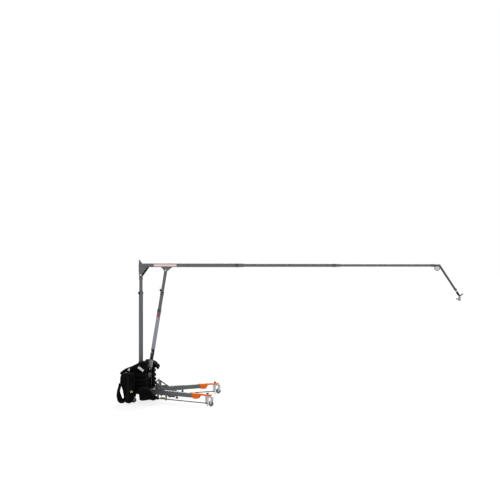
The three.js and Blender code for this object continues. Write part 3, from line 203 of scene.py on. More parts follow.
def inset(outline, depths):
    """An outline moved inwards by each depth along the bisector of its two edges, divided by the cosine of half
    the angle between them."""
    before, after = outline - np.roll(outline, 1, 0), np.roll(outline, -1, 0) - outline
    before /= np.linalg.norm(before, axis=1, keepdims=True) + 1e-12
    after /= np.linalg.norm(after, axis=1, keepdims=True) + 1e-12
    left = np.stack([-(before + after)[:, 1], (before + after)[:, 0]], 1)
    length = np.linalg.norm(left, axis=1, keepdims=True)
    left = left / np.maximum(length, 1e-9) / np.maximum(length / 2, 0.5)
    area = (outline[:, 0] * np.roll(outline[:, 1], -1) - outline[:, 1] * np.roll(outline[:, 0], -1)).sum()
    return outline[None] + np.asarray(depths)[:, None, None] * left[None] * np.sign(area)


def slab(place, outline, low, high, ease=0.0012):
    """A plate: the outline in x and y from z low to high. Its edge is a quarter round of the ease's radius."""
    edge = np.linspace(0, np.pi / 2, 4)
    depth = np.concatenate([[2.5 * ease], ease * (1 - np.sin(edge)), [0]])
    rise = np.concatenate([[0], ease * (1 - np.cos(edge)), [1.8 * ease]])
    depths = np.concatenate([depth, depth[::-1]])
    heights = np.concatenate([low + rise, (high - rise)[::-1]])
    rings = inset(np.asarray(outline, float), depths)
    grid = np.concatenate([rings, np.broadcast_to(heights[:, None, None], rings.shape[:2] + (1,))], -1)
    return Skin(place(grid), caps=True)


def both_faces(place, outline, inner, outer, ease=0.0012):
    """Two like plates, one on each side of the place's x and y, from inner to outer."""
    return [slab(place, outline, inner, outer, ease), slab(place, outline, -outer, -inner, ease)]


def box_outline(x, y, radius=0.002, steps=3):
    """A rectangle with rounded corners, counter-clockwise."""
    corners = [(x[0], y[0]), (x[1], y[0]), (x[1], y[1]), (x[0], y[1])]
    return eased(corners, radius, steps=steps, held=False)


def bar(place, x, y, z, radius=0.002, ease=0.0012):
    """A box with rounded upright corners and broken edges."""
    return slab(place, box_outline(x, y, radius), z[0], z[1], ease)


def wrapped(circles, steps=120):
    """The outline of a band pulled tight round circles (x, y, radius): in each direction n, the furthest c + r n."""
    c = np.asarray(circles, float)
    f = np.linspace(0, TAU, steps, endpoint=False)
    n = np.stack([np.cos(f), np.sin(f)], 1)
    reach = n @ c[:, :2].T + c[None, :, 2]
    best = reach.argmax(1)
    return c[best, :2] + c[best, 2:] * n


def box_tube(place, start, end, width, height, wall, corner=0.006, ease=0.0009):
    """A box tube along the place's x: a rounded rectangle carried along a closed profile of (x, inset)."""
    ring = box_outline((-width / 2, width / 2), (-height / 2, height / 2), corner, 5)
    profile = eased([(start, wall), (start, 0), (end, 0), (end, wall)], ease)
    rings = inset(ring, profile[:, 1])
    grid = np.concatenate([np.broadcast_to(profile[:, 0][:, None, None], rings.shape[:2] + (1,)), rings], -1)
    return Skin(place(grid), round_rows=True)


def bead(line, radius, ripple=0.0, waves=40, sides=10, closed=True, centre=None):
    """A cord of material along a line of points: each point plus r (cos g n + sin g b), with n and b square to the
    line, and r rippled by 1 + ripple sin(waves s) as a weld is. The ends of an open one close to a point."""
    line = np.asarray(line, float)
    ahead = np.roll(line, -1, 0) - np.roll(line, 1, 0) if closed else np.gradient(line, axis=0)
    ahead /= np.linalg.norm(ahead, axis=1, keepdims=True) + 1e-12
    middle = line.mean(0) if centre is None else np.asarray(centre, float)
    away = line - middle
    n = away - (away * ahead).sum(1, keepdims=True) * ahead
    if not closed and np.linalg.norm(n, axis=1).min() < 1e-6:
        n = np.cross(ahead, unit((0.3, 0.2, 0.9)))
    n /= np.linalg.norm(n, axis=1, keepdims=True) + 1e-12
    b = np.cross(ahead, n)
    s = np.linspace(0, 1, len(line), endpoint=not closed)
    r = radius * (1 + ripple * np.sin(TAU * waves * s))[:, None, None]
    if not closed:
        r = r * np.minimum(1, np.minimum(s, 1 - s) * len(line) * 0.7)[:, None, None] ** 0.5
    g = np.linspace(0, TAU, sides, endpoint=False)[None, :, None]
    grid = line[:, None] + r * (np.cos(g) * n[:, None] + np.sin(g) * b[:, None])
    skin = Skin(grid, round_rows=closed)
    skin.face_away(line[np.repeat(np.arange(len(line) if closed else len(line) - 1), sides)])
    return skin


def ring_line(place, radius, x=0.0, steps=96):
    """A circle of points round the place's x."""
    f = np.linspace(0, TAU, steps, endpoint=False)
    return place(np.stack([np.full(steps, x), radius * np.cos(f), radius * np.sin(f)], 1))


def oval(place, middle, a, b, steps=90):
    """A closed loop of points: middle + a cos f + b sin f."""
    f = np.linspace(0, TAU, steps, endpoint=False)[:, None]
    return place(np.asarray(middle) + np.asarray(a) * np.cos(f) + np.asarray(b) * np.sin(f))


def mirrored(half):
    """A profile and its mirror image, for pieces that are alike at both ends."""
    return half + [(-x, r) for x, r in half[::-1]]


def weld_round(place, radius, x, size=0.0035):
    """A rippled weld bead round a tube."""
    return bead(ring_line(place, radius, x, 144), size, ripple=0.16, waves=36)


def weld_pair(place, start, end, off, size):
    """Two straight welds from (x, z) to (x, z), one on each side of the place's middle."""
    s = np.linspace(0, 1, 60)[:, None]
    beads = []
    for side in (-1, 1):
        a, b = (place((x, side * off, z)) for x, z in (start, end))
        line = (1 - s) * a + s * b
        waves = max(4, int(np.linalg.norm(b - a) / 0.007))
        beads.append(bead(line, size, ripple=0.18, waves=waves, closed=False,
                          centre=line.mean(0) - 10 * side * Y))
    return beads


def hexagon(place, across, start, end, ease=0.0012):
    """A hexagonal head: the radius to a flat is across / 2, over cos of the angle from the nearest flat's middle,
    and the corners are turned down by a cone at the outer face."""
    f = np.linspace(0, TAU, 48, endpoint=False) + TAU / 96
    turn = (f + TAU / 12) % (TAU / 6) - TAU / 12
    r = across / 2 / np.cos(turn)
    x = np.array([start, start, start + ease, end - 2 * ease, end - ease, end, end])
    limit = np.array([0, 0.48, 0.5, 0.58, 0.555, 0.5, 0])[:, None] * across
    radius = np.minimum(r[None], limit) * (limit > 0)
    grid = np.stack([np.broadcast_to(x[:, None], radius.shape), radius * np.cos(f), radius * np.sin(f)], -1)
    return Skin(place(grid))


def bolt_head(place, seat, washer, thick, across, top, ease=0.0004):
    """A washer, by its radius and thickness, under a hexagonal head that ends at top."""
    return [rod(place, seat, seat + thick, 2 * washer, ease, 48), hexagon(place, across, seat + thick, top)]


def threaded(place, start, end, diameter, pitch, depth=0.0009, sides=28):
    """A screw thread: radius R - depth (1 + cos(2 pi x / pitch + f)) / 2 along x, faded to plain at both ends."""
    rows = max(12, int((end - start) / pitch * 8))
    x = np.linspace(start, end, rows)[:, None]
    f = np.linspace(0, TAU, sides, endpoint=False)[None, :]
    fade = np.clip(np.minimum(x - start, end - x) / pitch, 0, 1)
    r = diameter / 2 - depth * fade * (1 + np.cos(TAU * x / pitch + f)) / 2
    grid = np.stack([np.broadcast_to(x, r.shape), r * np.cos(f), r * np.sin(f)], -1)
    ends = [np.broadcast_to([e, 0.0, 0.0], (1, sides, 3)) for e in (start, end)]
    return Skin(place(np.concatenate([ends[0], grid, ends[1]])))


def lobed(place, radius, foot, top, neck, lobes=5, share=0.1):
    """A hand knob turned round x and swollen by 1 - share + share cos(lobes f), fading at the neck, with a dished
    top."""
    h = top - foot
    profile = [(foot - 0.006, 0), (foot - 0.006, neck), (foot, neck * 1.05), (foot + 0.12 * h, 0.72 * radius),
               (foot + 0.3 * h, radius), (top - 0.22 * h, radius), (top, 0.86 * radius), (top, 0.45 * radius),
               (top - 0.12 * h, 0.4 * radius), (top - 0.12 * h, 0)]
    blend = lambda x: np.clip((x - foot) / (0.3 * h), 0, 1)
    swell = lambda f, x: 1 - blend(x) * share * (1 - np.cos(lobes * f))
    return turned(place, profile, ease=0.0022, sides=80, swell=swell)


def wrinkle(points, seed, size, count=7):
    """Folds in cloth, 0 to 1: the mean of (1 - |sin|) squared over waves of random direction, length and phase."""
    rng = np.random.default_rng(seed)
    way = rng.normal(size=(count, 3))
    way /= np.linalg.norm(way, axis=1, keepdims=True)
    length = size * rng.uniform(0.6, 1.7, count)
    phase = rng.uniform(0, TAU, count)
    bend = 0.35 * size * np.sin(points @ (way[::-1] / (2.2 * size)).T * TAU * 0.5 + phase[::-1])
    wave = np.sin(np.pi * (points @ way.T + bend) / length + phase)
    return ((1 - np.abs(wave)) ** 2).mean(-1) * 3.0


def grid_normals(grid, round_cols=True):
    """The cross product of a grid's two differences, made length one."""
    across = np.roll(grid, -1, 1) - np.roll(grid, 1, 1) if round_cols else np.gradient(grid, axis=1)
    down = np.gradient(grid, axis=0)
    n = np.cross(across, down)
    return n / (np.linalg.norm(n, axis=-1, keepdims=True) + 1e-12)


def signed_power(value, power):
    """A power of the size that keeps the sign."""
    return np.sign(value) * np.abs(value) ** power


# ---------------------------------------------------------------- finishes

class Value:
    """One output of a node. Sums, products and powers of values and numbers add Math nodes."""

    def __init__(self, nodes, socket):
        self.nodes, self.socket = nodes, socket

    def math(self, operation, *terms):
        return self.nodes.node("ShaderNodeMath", {"operation": operation}, dict(enumerate(terms)))

    def __add__(self, other): return self.math("ADD", self, other)
    def __radd__(self, other): return self.math("ADD", other, self)
    def __sub__(self, other): return self.math("SUBTRACT", self, other)
    def __rsub__(self, other): return self.math("SUBTRACT", other, self)
    def __mul__(self, other): return self.math("MULTIPLY", self, other)
    def __rmul__(self, other): return self.math("MULTIPLY", other, self)
    def __truediv__(self, other): return self.math("DIVIDE", self, other)
    def __rtruediv__(self, other): return self.math("DIVIDE", other, self)
    def __pow__(self, other): return self.math("POWER", self, other)
    def wave(self): return self.math("SINE", self)
    def size(self): return self.math("ABSOLUTE", self)
    def most(self, other): return self.math("MAXIMUM", self, other)


class Nodes:
    """A node tree. node() makes any node, its settings first and then its inputs, and gives one of its outputs."""

    def __init__(self, tree):
        self.tree = tree

    @staticmethod
    def socket(sockets, key):
        """A socket by its number, or by its name or identifier."""
        if isinstance(key, int):
            return sockets[key]
        return next(s for s in sockets if key in (s.identifier, s.name) and s.enabled)

    def feed(self, socket, value):
        """Links a value to a socket, or sets a number or colour on it."""
        if isinstance(value, Value):
            self.tree.links.new(value.socket, socket)
        elif socket.type == "RGBA":
            socket.default_value = tuple(value)[:3] + (1,)
        else:
            socket.default_value = value

    def node(self, kind, settings=None, inputs=None, output=0):
        made = self.tree.nodes.new(kind)
        for key, value in (settings or {}).items():
            setattr(made, key, value)
        for key, value in (inputs or {}).items():
            self.feed(self.socket(made.inputs, key), value)
        return Value(self, self.socket(made.outputs, output)) if made.outputs else None


class Finish(Nodes):
    """A material for one of the record's slots."""

    def __init__(self, name, slot, **constants):
        self.material = bpy.data.materials.new(name)
        self.material.use_nodes = True
        super().__init__(self.material.node_tree)
        self.shader = next(n for n in self.tree.nodes if n.type == "BSDF_PRINCIPLED")
        self.slot = slot
        for key, value in constants.items():
            self.shader.inputs[key.replace("_", " ")].default_value = value

    def where(self, along=X, stretch=(1, 1, 1)):
        """The point on the object, turned so that along becomes its x, then each axis divided by stretch."""
        x, y, z = unit(along)
        turn = (0, -np.arcsin(z), np.arctan2(y, x))
        point = self.node("ShaderNodeTexCoord", output="Object")
        return self.node("ShaderNodeMapping", {"vector_type": "TEXTURE"},
                         {"Vector": point, "Rotation": turn, "Scale": stretch})

    def flat(self, scale):
        """The corner's place on the flat skin, in metres, times a scale."""
        point = self.node("ShaderNodeTexCoord", output="UV")
        return self.node("ShaderNodeMapping", {}, {"Vector": point, "Scale": scale})

    def parts(self, vector):
        """The three numbers of a vector or colour."""
        split = self.node("ShaderNodeSeparateXYZ", {}, {"Vector": vector}).socket.node
        return [Value(self, split.outputs[i]) for i in range(3)]

    def noise(self, vector, scale, detail=2.0, rough=0.5):
        """Cloudy noise, about 0 to 1."""
        return self.node("ShaderNodeTexNoise", {},
                         {"Vector": vector, "Scale": scale, "Detail": detail, "Roughness": rough})

    def step(self, value, low, high, to_low=0.0, to_high=1.0):
        """A smooth step from to_low at low to to_high at high."""
        return self.node("ShaderNodeMapRange", {"interpolation_type": "SMOOTHSTEP"},
                         {"Value": value, "From Min": low, "From Max": high, "To Min": to_low, "To Max": to_high})

    def patches(self, vector, scale, low, high, detail=2.0, rough=0.5):
        """Patches of cloudy noise: 0 where it is under low and 1 where it is over high."""
        return self.step(self.noise(vector, scale, detail, rough), low, high)

    def mix(self, share, a, b):
        """A share of the way from colour a to colour b."""
        return self.node("ShaderNodeMix", {"data_type": "RGBA"},
                         {"Factor_Float": share, "A_Color": a, "B_Color": b}, "Result_Color")

    def shade(self, colour, share):
        """A colour times a value."""
        return self.node("ShaderNodeVectorMath", {"operation": "SCALE"}, {0: colour, "Scale": share})

    def bump(self, height, distance, strength=1.0):
        """A normal tilted by a height."""
        return self.node("ShaderNodeBump", {}, {"Height": height, "Distance": distance, "Strength": strength})

    def set(self, **links):
        """Feeds the shader's own sockets, by their names."""
        for key, value in links.items():
            self.feed(self.shader.inputs[key.replace("_", " ")], value)
        return self


def powder(name, slot, colour, bare, along=X, worn=0.5, gloss=0.44, shine=0.5):
    """Powder coat: orange peel, cloudy handling marks, scuffs drawn out along the tube, and small chips to bare
    metal."""
    finish = Finish(name, slot, IOR=1.5, Specular_IOR_Level=shine)
    here = finish.where(along)
    drawn = finish.where(along, (9, 1, 1))
    cloud = finish.noise(here, 5.5, 5, 0.6)
    grain = finish.noise(here, 420, 2)
    rub = finish.patches(drawn, 150, 0.6, 0.72, 3, 0.65) * finish.patches(here, 4.2, 0.46, 0.64, 3)
    chip = finish.patches(here, 300, 0.67, 0.70, 3, 0.7) * finish.patches(here, 13, 0.68 - 0.16 * worn, 0.76)
    tone = 0.9 + 0.15 * cloud + 0.07 * grain
    coat = finish.shade(colour, tone)
    light = tuple(0.55 * c + 0.45 * b for c, b in zip(colour, bare))
    marked = finish.mix(rub * (0.6 * worn), coat, light)
    finish.set(Base_Color=finish.mix(chip, marked, bare), Metallic=chip * 0.9,
               Roughness=gloss + 0.16 * cloud - 0.1 * rub + 0.05 * grain,
               Normal=finish.bump(finish.noise(here, 1100, 1) - 0.8 * chip, 0.00012))
    return finish


def plated(name, colour, rough=0.3, along=X):
    """Zinc plate: small crystal patches, a brushed grain along the piece and dull handling marks."""
    finish = Finish(name, "zinc", IOR=1.5)
    here = finish.where(along)
    patch = finish.node("ShaderNodeTexVoronoi", {}, {"Vector": here, "Scale": 210.0}, "Color")
    light = finish.parts(patch)[0]
    brushed = finish.noise(finish.where(along, (24, 1, 1)), 900, 2)
    dull = finish.noise(here, 24, 4, 0.6)
    tone = 0.8 + 0.12 * light + 0.12 * brushed + 0.1 * dull
    finish.set(Base_Color=finish.shade(colour, tone), Metallic=0.92,
               Roughness=rough + 0.14 * dull + 0.1 * brushed,
               Normal=finish.bump(brushed, 0.00004))
    return finish


def moulded(name, slot, colour, rough=0.5, dust=(0.16, 0.155, 0.15), shine=0.5, dusting=0.28):
    """Moulded plastic or rubber: fine texture, faint flow marks, and dust in patches."""
    finish = Finish(name, slot, IOR=1.47, Specular_IOR_Level=shine)
    here = finish.where()
    cloud = finish.noise(here, 38, 4, 0.6)
    grain = finish.noise(here, 1500, 2)
    dusty = finish.patches(here, 17, 0.55, 0.8, 5, 0.65) * dusting
    coat = finish.shade(colour, 0.85 + 0.35 * cloud)
    finish.set(Base_Color=finish.mix(dusty, coat, dust), Roughness=rough + 0.2 * cloud + 0.08 * grain,
               Normal=finish.bump(grain + 0.3 * cloud, 0.0001))
    return finish


def woven(name, colour, thread, pitch=0.0011, twill=False, sheen=0.0):
    """Woven cloth on its own flat place: a plain weave is sin(u) sin(v), a twill is sin(u + v) with a cross rib.
    Folds that stand out are rubbed lighter by the piece's worn attribute, and dust lies in soft patches."""
    finish = Finish(name, "bag_cloth", IOR=1.4, Specular_IOR_Level=0.06, Sheen_Weight=sheen, Sheen_Roughness=0.5)
    turns = TAU / pitch
    u, v = finish.parts(finish.flat((turns, turns, 1)))[:2]
    if twill:
        weave = 0.5 + 0.35 * (u + v).wave() + 0.15 * (0.5 * v).wave()
    else:
        weave = 0.5 + 0.5 * u.wave() * v.wave()
    here = finish.where()
    cloud = finish.noise(here, 9, 5, 0.6)
    fuzz = finish.noise(here, 700, 2)
    worn = finish.node("ShaderNodeAttribute", {"attribute_name": "worn"}, {}, "Fac")
    dusty = finish.step(cloud, 0.48, 0.78) * 0.25
    rubbed = finish.step(worn + 0.4 * cloud, 0.55, 1.1) * 0.4
    cloth = finish.mix(weave * 0.7 + 0.3 * fuzz, colour, thread)
    lighter = tuple(min(1, 1.6 * c + 0.002) for c in thread)
    finish.set(Base_Color=finish.mix(dusty.most(rubbed), cloth, lighter), Roughness=0.78 + 0.14 * fuzz,
               Normal=finish.bump(weave + 0.4 * fuzz, 0.00025, 0.8))
    return finish


def film(name, colour, edge, along=X):
    """Printed film on paint: slightly glossier than the paint, scratched lengthways, with a faint stain."""
    finish = Finish(name, "grey_paint", IOR=1.46)
    here = finish.where(along)
    scratch = finish.patches(finish.where(along, (14, 1, 1)), 240, 0.6, 0.74, 3, 0.6)
    stain = finish.noise(here, 11, 5, 0.6)
    finish.set(Base_Color=finish.mix(scratch * 0.5, finish.shade(colour, 0.86 + 0.2 * stain), edge),
               Roughness=0.3 + 0.25 * stain, Normal=finish.bump(scratch, 0.00005, 0.6))
    return finish


STEEL = (0.46, 0.46, 0.45)
GREY = (0.142, 0.147, 0.155)
UP = STRUT.axes[0]
FALL = DROP.axes[0]
coat_along = {
    "x": powder("powder_grey_boom", "grey_paint", GREY, STEEL, X, 0.15),
    "z": powder("powder_grey_mast", "grey_paint", GREY, STEEL, Z, 0.3),
    "strut": powder("powder_grey_strut", "grey_paint", GREY, STEEL, UP, 0.2),
    "fall": powder("powder_grey_drop", "grey_paint", (0.075, 0.077, 0.083), STEEL, FALL, 0.15),
    "near": powder("powder_grey_near_leg", "grey_paint", GREY, STEEL, LEGS["near"].axes[0], 0.5),
    "far": powder("powder_grey_far_leg", "grey_paint", GREY, STEEL, LEGS["far"].axes[0], 0.5),
}
DARK, DARK_BARE = (0.006, 0.006, 0.0065), (0.12, 0.12, 0.12)
sleeve_grey = powder("powder_light_grey", "grey_paint", (0.27, 0.276, 0.288), STEEL, UP, 0.2)
black_coat = powder("powder_black", "black_paint", DARK, DARK_BARE, UP, 0.5, 0.5, 0.16)
orange_coat = powder("powder_orange", "orange_paint", (1.0, 0.195, 0.004), STEEL, X, 0.4, 0.42, 0.2)
zinc = plated("zinc_plate", (0.60, 0.61, 0.63))
bright = plated("bright_steel", (0.68, 0.68, 0.69), 0.18, Z)
yellow_zinc = plated("yellow_zinc", (0.80, 0.70, 0.38), 0.3)
worn_zinc = plated("worn_zinc", (0.36, 0.365, 0.37), 0.36)
black_plastic = moulded("black_plastic", "black_plastic", (0.005, 0.005, 0.0055), 0.5, (0.05, 0.05, 0.05), 0.16,
                        0.2)
tread = moulded("grey_rubber", "wheel_rubber", (0.10, 0.103, 0.107), 0.62)
hub_plastic = moulded("wheel_hub_grey", "wheel_rubber", (0.3, 0.305, 0.31), 0.45)
bag_cloth = woven("cordura_black", (0.0018, 0.0018, 0.0020), (0.0068, 0.0068, 0.0075))
webbing = woven("webbing_black", (0.003, 0.003, 0.0035), (0.018, 0.018, 0.02), 0.0032, twill=True)
pale_webbing = woven("webbing_pale", (0.88, 0.88, 0.87), (0.98, 0.98, 0.97), 0.0032, twill=True, sheen=0.1)
binding = woven("edge_binding", (0.002, 0.002, 0.0025), (0.012, 0.012, 0.013), 0.0016, twill=True)
pale_film = film("film_pale", (0.97, 0.97, 0.98), (0.6, 0.6, 0.61))
lilac_film = film("film_lilac", (0.36, 0.36, 0.44), (0.24, 0.24, 0.28), UP)
red_film = film("film_red", (0.80, 0.012, 0.014), (0.4, 0.05, 0.05))


# ---------------------------------------------------------------- pieces

def piece(name, skins, finish, body, *replaced, worn=None, crease=None):
    """One object of several skins, with doubled points merged, its flat places and its finish, riding on a body."""
    skins = skins if isinstance(skins, (list, tuple)) else [skins]
    starts = np.cumsum([0] + [len(s.points) for s in skins])
    mesh = bpy.data.meshes.new(name)
    points = np.concatenate([s.points for s in skins])
    loops, sizes, flats = [], [], []
    for skin, start in zip(skins, starts):
        loops.append((skin.quads + start).ravel())
        sizes.append(np.full(len(skin.quads), 4))
        flats.append(skin.flat.reshape(-1, 2))
        for cap in skin.caps:
            loops.append(cap + start)
            sizes.append([len(cap)])
            flats.append((skin.points[cap] - skin.points[cap].mean(0))[:, :2])
    loops, sizes, flats = np.concatenate(loops), np.concatenate(sizes), np.concatenate(flats)
    mesh.vertices.add(len(points))
    mesh.vertices.foreach_set("co", points.ravel().astype(np.float32))
    mesh.loops.add(len(loops))
    mesh.loops.foreach_set("vertex_index", loops.astype(np.int32))
    mesh.polygons.add(len(sizes))
    mesh.polygons.foreach_set("loop_start", (np.cumsum(sizes) - sizes).astype(np.int32))
    mesh.update(calc_edges=True)
    layer = mesh.uv_layers.new(name="UVMap")
    layer.data.foreach_set("uv", flats.ravel().astype(np.float32))
    if worn is not None:
        rubbed = np.asarray(worn, np.float32).ravel()
        mesh.attributes.new("worn", "FLOAT", "POINT").data.foreach_set("value", rubbed)
    form = bmesh.new()
    form.from_mesh(mesh)
    bmesh.ops.remove_doubles(form, verts=form.verts, dist=2e-6)
    form.to_mesh(mesh)
    form.free()
    mesh.validate()
    mesh.polygons.foreach_set("use_smooth", np.ones(len(mesh.polygons), bool))
    if crease is not None:
        mesh.set_sharp_from_angle(angle=np.radians(crease))
    mesh.materials.append(finish.material)
    made = bpy.data.objects.new(name, mesh)
    bpy.context.scene.collection.objects.link(made)
    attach(made, body)
    if replaced:
        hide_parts(*replaced)
    return made


def softened(node, ending, finish, body, width):
    """A CAD plate part with its flats joined and its edges broken by a rounded bevel. Its name gains the ending."""
    name = node + ending
    mesh = frame["nodes"][node].data.copy()
    mesh.name = name
    form = bmesh.new()
    form.from_mesh(mesh)
    bmesh.ops.remove_doubles(form, verts=form.verts, dist=1e-5)
    bmesh.ops.dissolve_limit(form, angle_limit=np.radians(1), verts=form.verts, edges=form.edges)
    form.to_mesh(mesh)
    form.free()
    mesh.materials.clear()
    mesh.materials.append(finish.material)
    mesh.polygons.foreach_set("use_smooth", np.ones(len(mesh.polygons), bool))
    made = bpy.data.objects.new(name, mesh)
    bpy.context.scene.collection.objects.link(made)
    bevel = made.modifiers.new("edge", "BEVEL")
    bevel.width, bevel.segments, bevel.limit_method = width, 3, "ANGLE"
    bevel.angle_limit, bevel.harden_normals = np.radians(32), True
    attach(made, body)
    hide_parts(node)
    return made


# ---------------------------------------------------------------- mast and luffing head

MAST_TUBE, MAST_BORE = 0.076, 0.070
MAST_FOOT, MAST_MOUTH = 0.2036, 1.880
COLLAR, COLLAR_FOOT, COLLAR_TOP = 0.0874, 1.845, 1.892
INNER_TUBE, INNER_BORE, INNER_SPAN = 0.060, 0.054, (1.380, 2.1277)
PULL_HEIGHT = 1.864
PULL = Place(MAST((PULL_HEIGHT, 0, 0)), axis_of("mast_pull_pin_pull"), Z)  # its x runs out of the mast
BOSS_END = COLLAR / 2 + 0.016

piece("mast_outer_tube_coat", [
    tube(MAST, MAST_FOOT, MAST_MOUTH, MAST_TUBE, MAST_BORE),
    turned(MAST, [(COLLAR_FOOT, 0.0375), (COLLAR_FOOT, COLLAR / 2 - 0.001), (COLLAR_FOOT + 0.003, COLLAR / 2),
                  (COLLAR_TOP - 0.003, COLLAR / 2), (COLLAR_TOP, COLLAR / 2 - 0.003), (COLLAR_TOP, 0.0305),
                  (MAST_MOUTH + 0.0003, 0.0305), (MAST_MOUTH + 0.0003, 0.0375)], 0.0015, hollow=True, sides=64),
    weld_round(MAST, MAST_TUBE / 2, COLLAR_FOOT - 0.0002),
    tube(PULL, MAST_TUBE / 2, BOSS_END, 0.024, 0.0126),
    weld_round(PULL, 0.012, COLLAR / 2 + 0.0004, 0.0022),
], coat_along["z"], "chassis", "mast_outer_tube")

GRIP_FROM, GRIP_TO = 0.0600, 0.0920
knurl = lambda f, x: 1 - 0.0175 * (1 - np.cos(24 * f)) * ((x > GRIP_FROM + 0.006) & (x < GRIP_TO - 0.006))
piece("mast_pull_pin_grip", [
    turned(PULL, [(0.028, 0), (0.028, 0.0045), (0.031, 0.006), (GRIP_FROM, 0.006), (GRIP_FROM, 0.0135),
                  (GRIP_FROM + 0.004, 0.015), (GRIP_TO - 0.004, 0.015), (GRIP_TO, 0.012), (GRIP_TO, 0)],
           sides=96, swell=knurl)], black_plastic, "pull_pin", "mast_pull_pin")

# The pin's keeper: a loop of thin wire on an eye at the collar's rear.
KEEPER = Place(MAST((PULL_HEIGHT, 0, 0)) + COLLAR / 2 * np.array((-0.906, -0.423, 0)))
keeper_line = oval(KEEPER, (-0.034, -0.006, 0.004), (0.038, 0, 0), (0, -0.012, 0.040))
piece("mast_keeper_wire", bead(keeper_line, 0.0016), zinc, "chassis")
eye_line = oval(KEEPER, (-0.0085, -0.002, 0), (-0.0075, 0.004, 0), (0, 0, 0.0072))
piece("mast_keeper_eye", bead(eye_line, 0.0020), bright, "chassis")

piece("mast_inner_tube_coat", tube(MAST, *INNER_SPAN, INNER_TUBE, INNER_BORE), coat_along["z"],
      "mast", "mast_inner_tube")

TONGUE, TONGUE_ROUND = 0.040, 0.030
piece("mast_head_coat", [
    turned(MAST, [(2.096, 0.0303), (2.096, 0.034), (2.1435, 0.034), (2.1435, 0), (2.128, 0), (2.128, 0.0303)],
           0.002, hollow=True, sides=64),
    slab(PIVOT.standing(), wrapped([(0, 0, TONGUE_ROUND), (-0.0225, -0.040, 0.004), (0.0225, -0.040, 0.004)]),
         -TONGUE / 2, TONGUE / 2, 0.002),
    *weld_pair(PIVOT, (-0.025, -0.0365), (0.025, -0.0365), TONGUE / 2, 0.003),
    weld_round(MAST, INNER_TUBE / 2, 2.0958, 0.0028),
], coat_along["z"], "mast", "mast_head")

ACROSS = PIVOT.facing(-Y, Z)  # its x runs to the near side
BOLT_SEAT = 0.0286
bolt_heads = [
    turned(way, [(BOLT_SEAT, 0), (BOLT_SEAT, 0.018), (BOLT_SEAT + 0.003, 0.018), (BOLT_SEAT + 0.003, 0.0155),
                 (BOLT_SEAT + 0.0105, 0.0140), (BOLT_SEAT + 0.012, 0.0115), (BOLT_SEAT + 0.012, 0.0062),
                 (BOLT_SEAT + 0.005, 0.0058), (BOLT_SEAT + 0.005, 0)], 0.0007)
    for way in (ACROSS, PIVOT.facing(Y, Z))]
piece("boom_pivot_bolt_plated", [rod(ACROSS, -BOLT_SEAT, BOLT_SEAT, 0.020), *bolt_heads], bright, "mast",
      "boom_pivot_bolt")

# Each boom stage: outer and inner diameter, and where it starts and ends.
STAGES = [(0.066, 0.055, -0.025, 1.800), (0.054, 0.045, 1.550, 3.490), (0.044, 0.039, 3.240, 5.120)]
BOOM_RISE, BOOM_RADIUS = 0.170, STAGES[0][0] / 2

# The bracket: two cheeks round the pivot, a bar up the rear and a fin over it.
CHEEK_IN, CHEEK_THICK = 0.0203, 0.008
FACE = CHEEK_IN + CHEEK_THICK
BRACKET_REAR, BRACKET_FRONT, BRACKET_TOP, CHEEK_ROUND = -0.0353, 0.143, 0.150, 0.0308
FIN_FOOT, FIN_TOP = 0.196, 0.268
cheek = wrapped([(0, 0, CHEEK_ROUND), (BRACKET_FRONT - 0.004, BRACKET_TOP - 0.004, 0.004),
                 (BRACKET_REAR + 0.0035, BRACKET_TOP - 0.004, 0.0035)], 200)
fin = eased([(BRACKET_REAR, FIN_FOOT), (0.0267, FIN_FOOT), (-0.0236, FIN_TOP), (BRACKET_REAR, FIN_TOP)], 0.006,
            held=False)
standing = PIVOT.standing()
piece("boom_bracket_coat", [
    *both_faces(standing, cheek, CHEEK_IN, FACE, 0.0018),
    bar(PIVOT, (BRACKET_REAR, BRACKET_REAR + 0.010), (-FACE, FACE), (0.052, 0.203), 0.0025, 0.002),
    slab(standing, fin, -0.005, 0.005, 0.0015),
    *weld_pair(PIVOT, (-0.02, BRACKET_TOP + 0.0005), (0.138, BRACKET_TOP + 0.0005), 0.0292, 0.0035),
    *weld_pair(PIVOT, (-0.0262, 0.2035), (0.024, 0.2035), 0.0055, 0.0025),
    weld_round(PIVOT.at(z=BOOM_RISE), BOOM_RADIUS, -0.0247, 0.003),
], coat_along["x"], "boom", "boom_bracket")

# The brace strap closes the cheeks' front edge, from the round up to the boom's underside, and folds over both
# faces.
STRAP = 0.0022
corner = np.array((BRACKET_FRONT - 0.004, BRACKET_TOP - 0.004))
lean = np.arctan2(corner[1], corner[0]) + np.arcsin((CHEEK_ROUND - 0.004) / np.linalg.norm(corner))
along, off = np.array((np.cos(lean), np.sin(lean))), np.array((np.sin(lean), -np.cos(lean)))
foot = CHEEK_ROUND * off


def strap_outline(inside, outside, start):
    """A band along the edge's line, from inside it to outside it, cut level under the boom."""
    corners = []
    for out in (inside, outside):
        climb = (BOOM_RISE - 0.0345 - foot[1] - out * off[1]) / along[1]
        corners.append([foot + out * off + start * along, foot + out * off + climb * along])
    (low_in, high_in), (low_out, high_out) = corners
    return eased([low_out, high_out, high_in, low_in], 0.002, held=False)


piece("boom_brace_strap_coat", [
    slab(standing, strap_outline(0.0003, 0.0065, -0.004), -FACE - STRAP, FACE + STRAP, 0.001),
    *both_faces(standing, strap_outline(-0.0195, 0.0063, 0.020), FACE, FACE + STRAP, 0.0008),
], black_coat, "boom", "boom_brace_strap")
# Thin black discs on both cheeks' faces round the pivot bolt, set 4 mm low and to the rear: painted shade for the
# dark gap under the pivot.
pivot_shade_discs = [rod(way.at(y=-0.004 * sign, z=-0.004), 0.0279, 0.02855, 0.052, 0.0001, 48)
         for way, sign in ((ACROSS, 1), (PIVOT.facing(Y, Z), -1))]
piece("boom_pivot_painted_shade", pivot_shade_discs, black_coat, "boom")

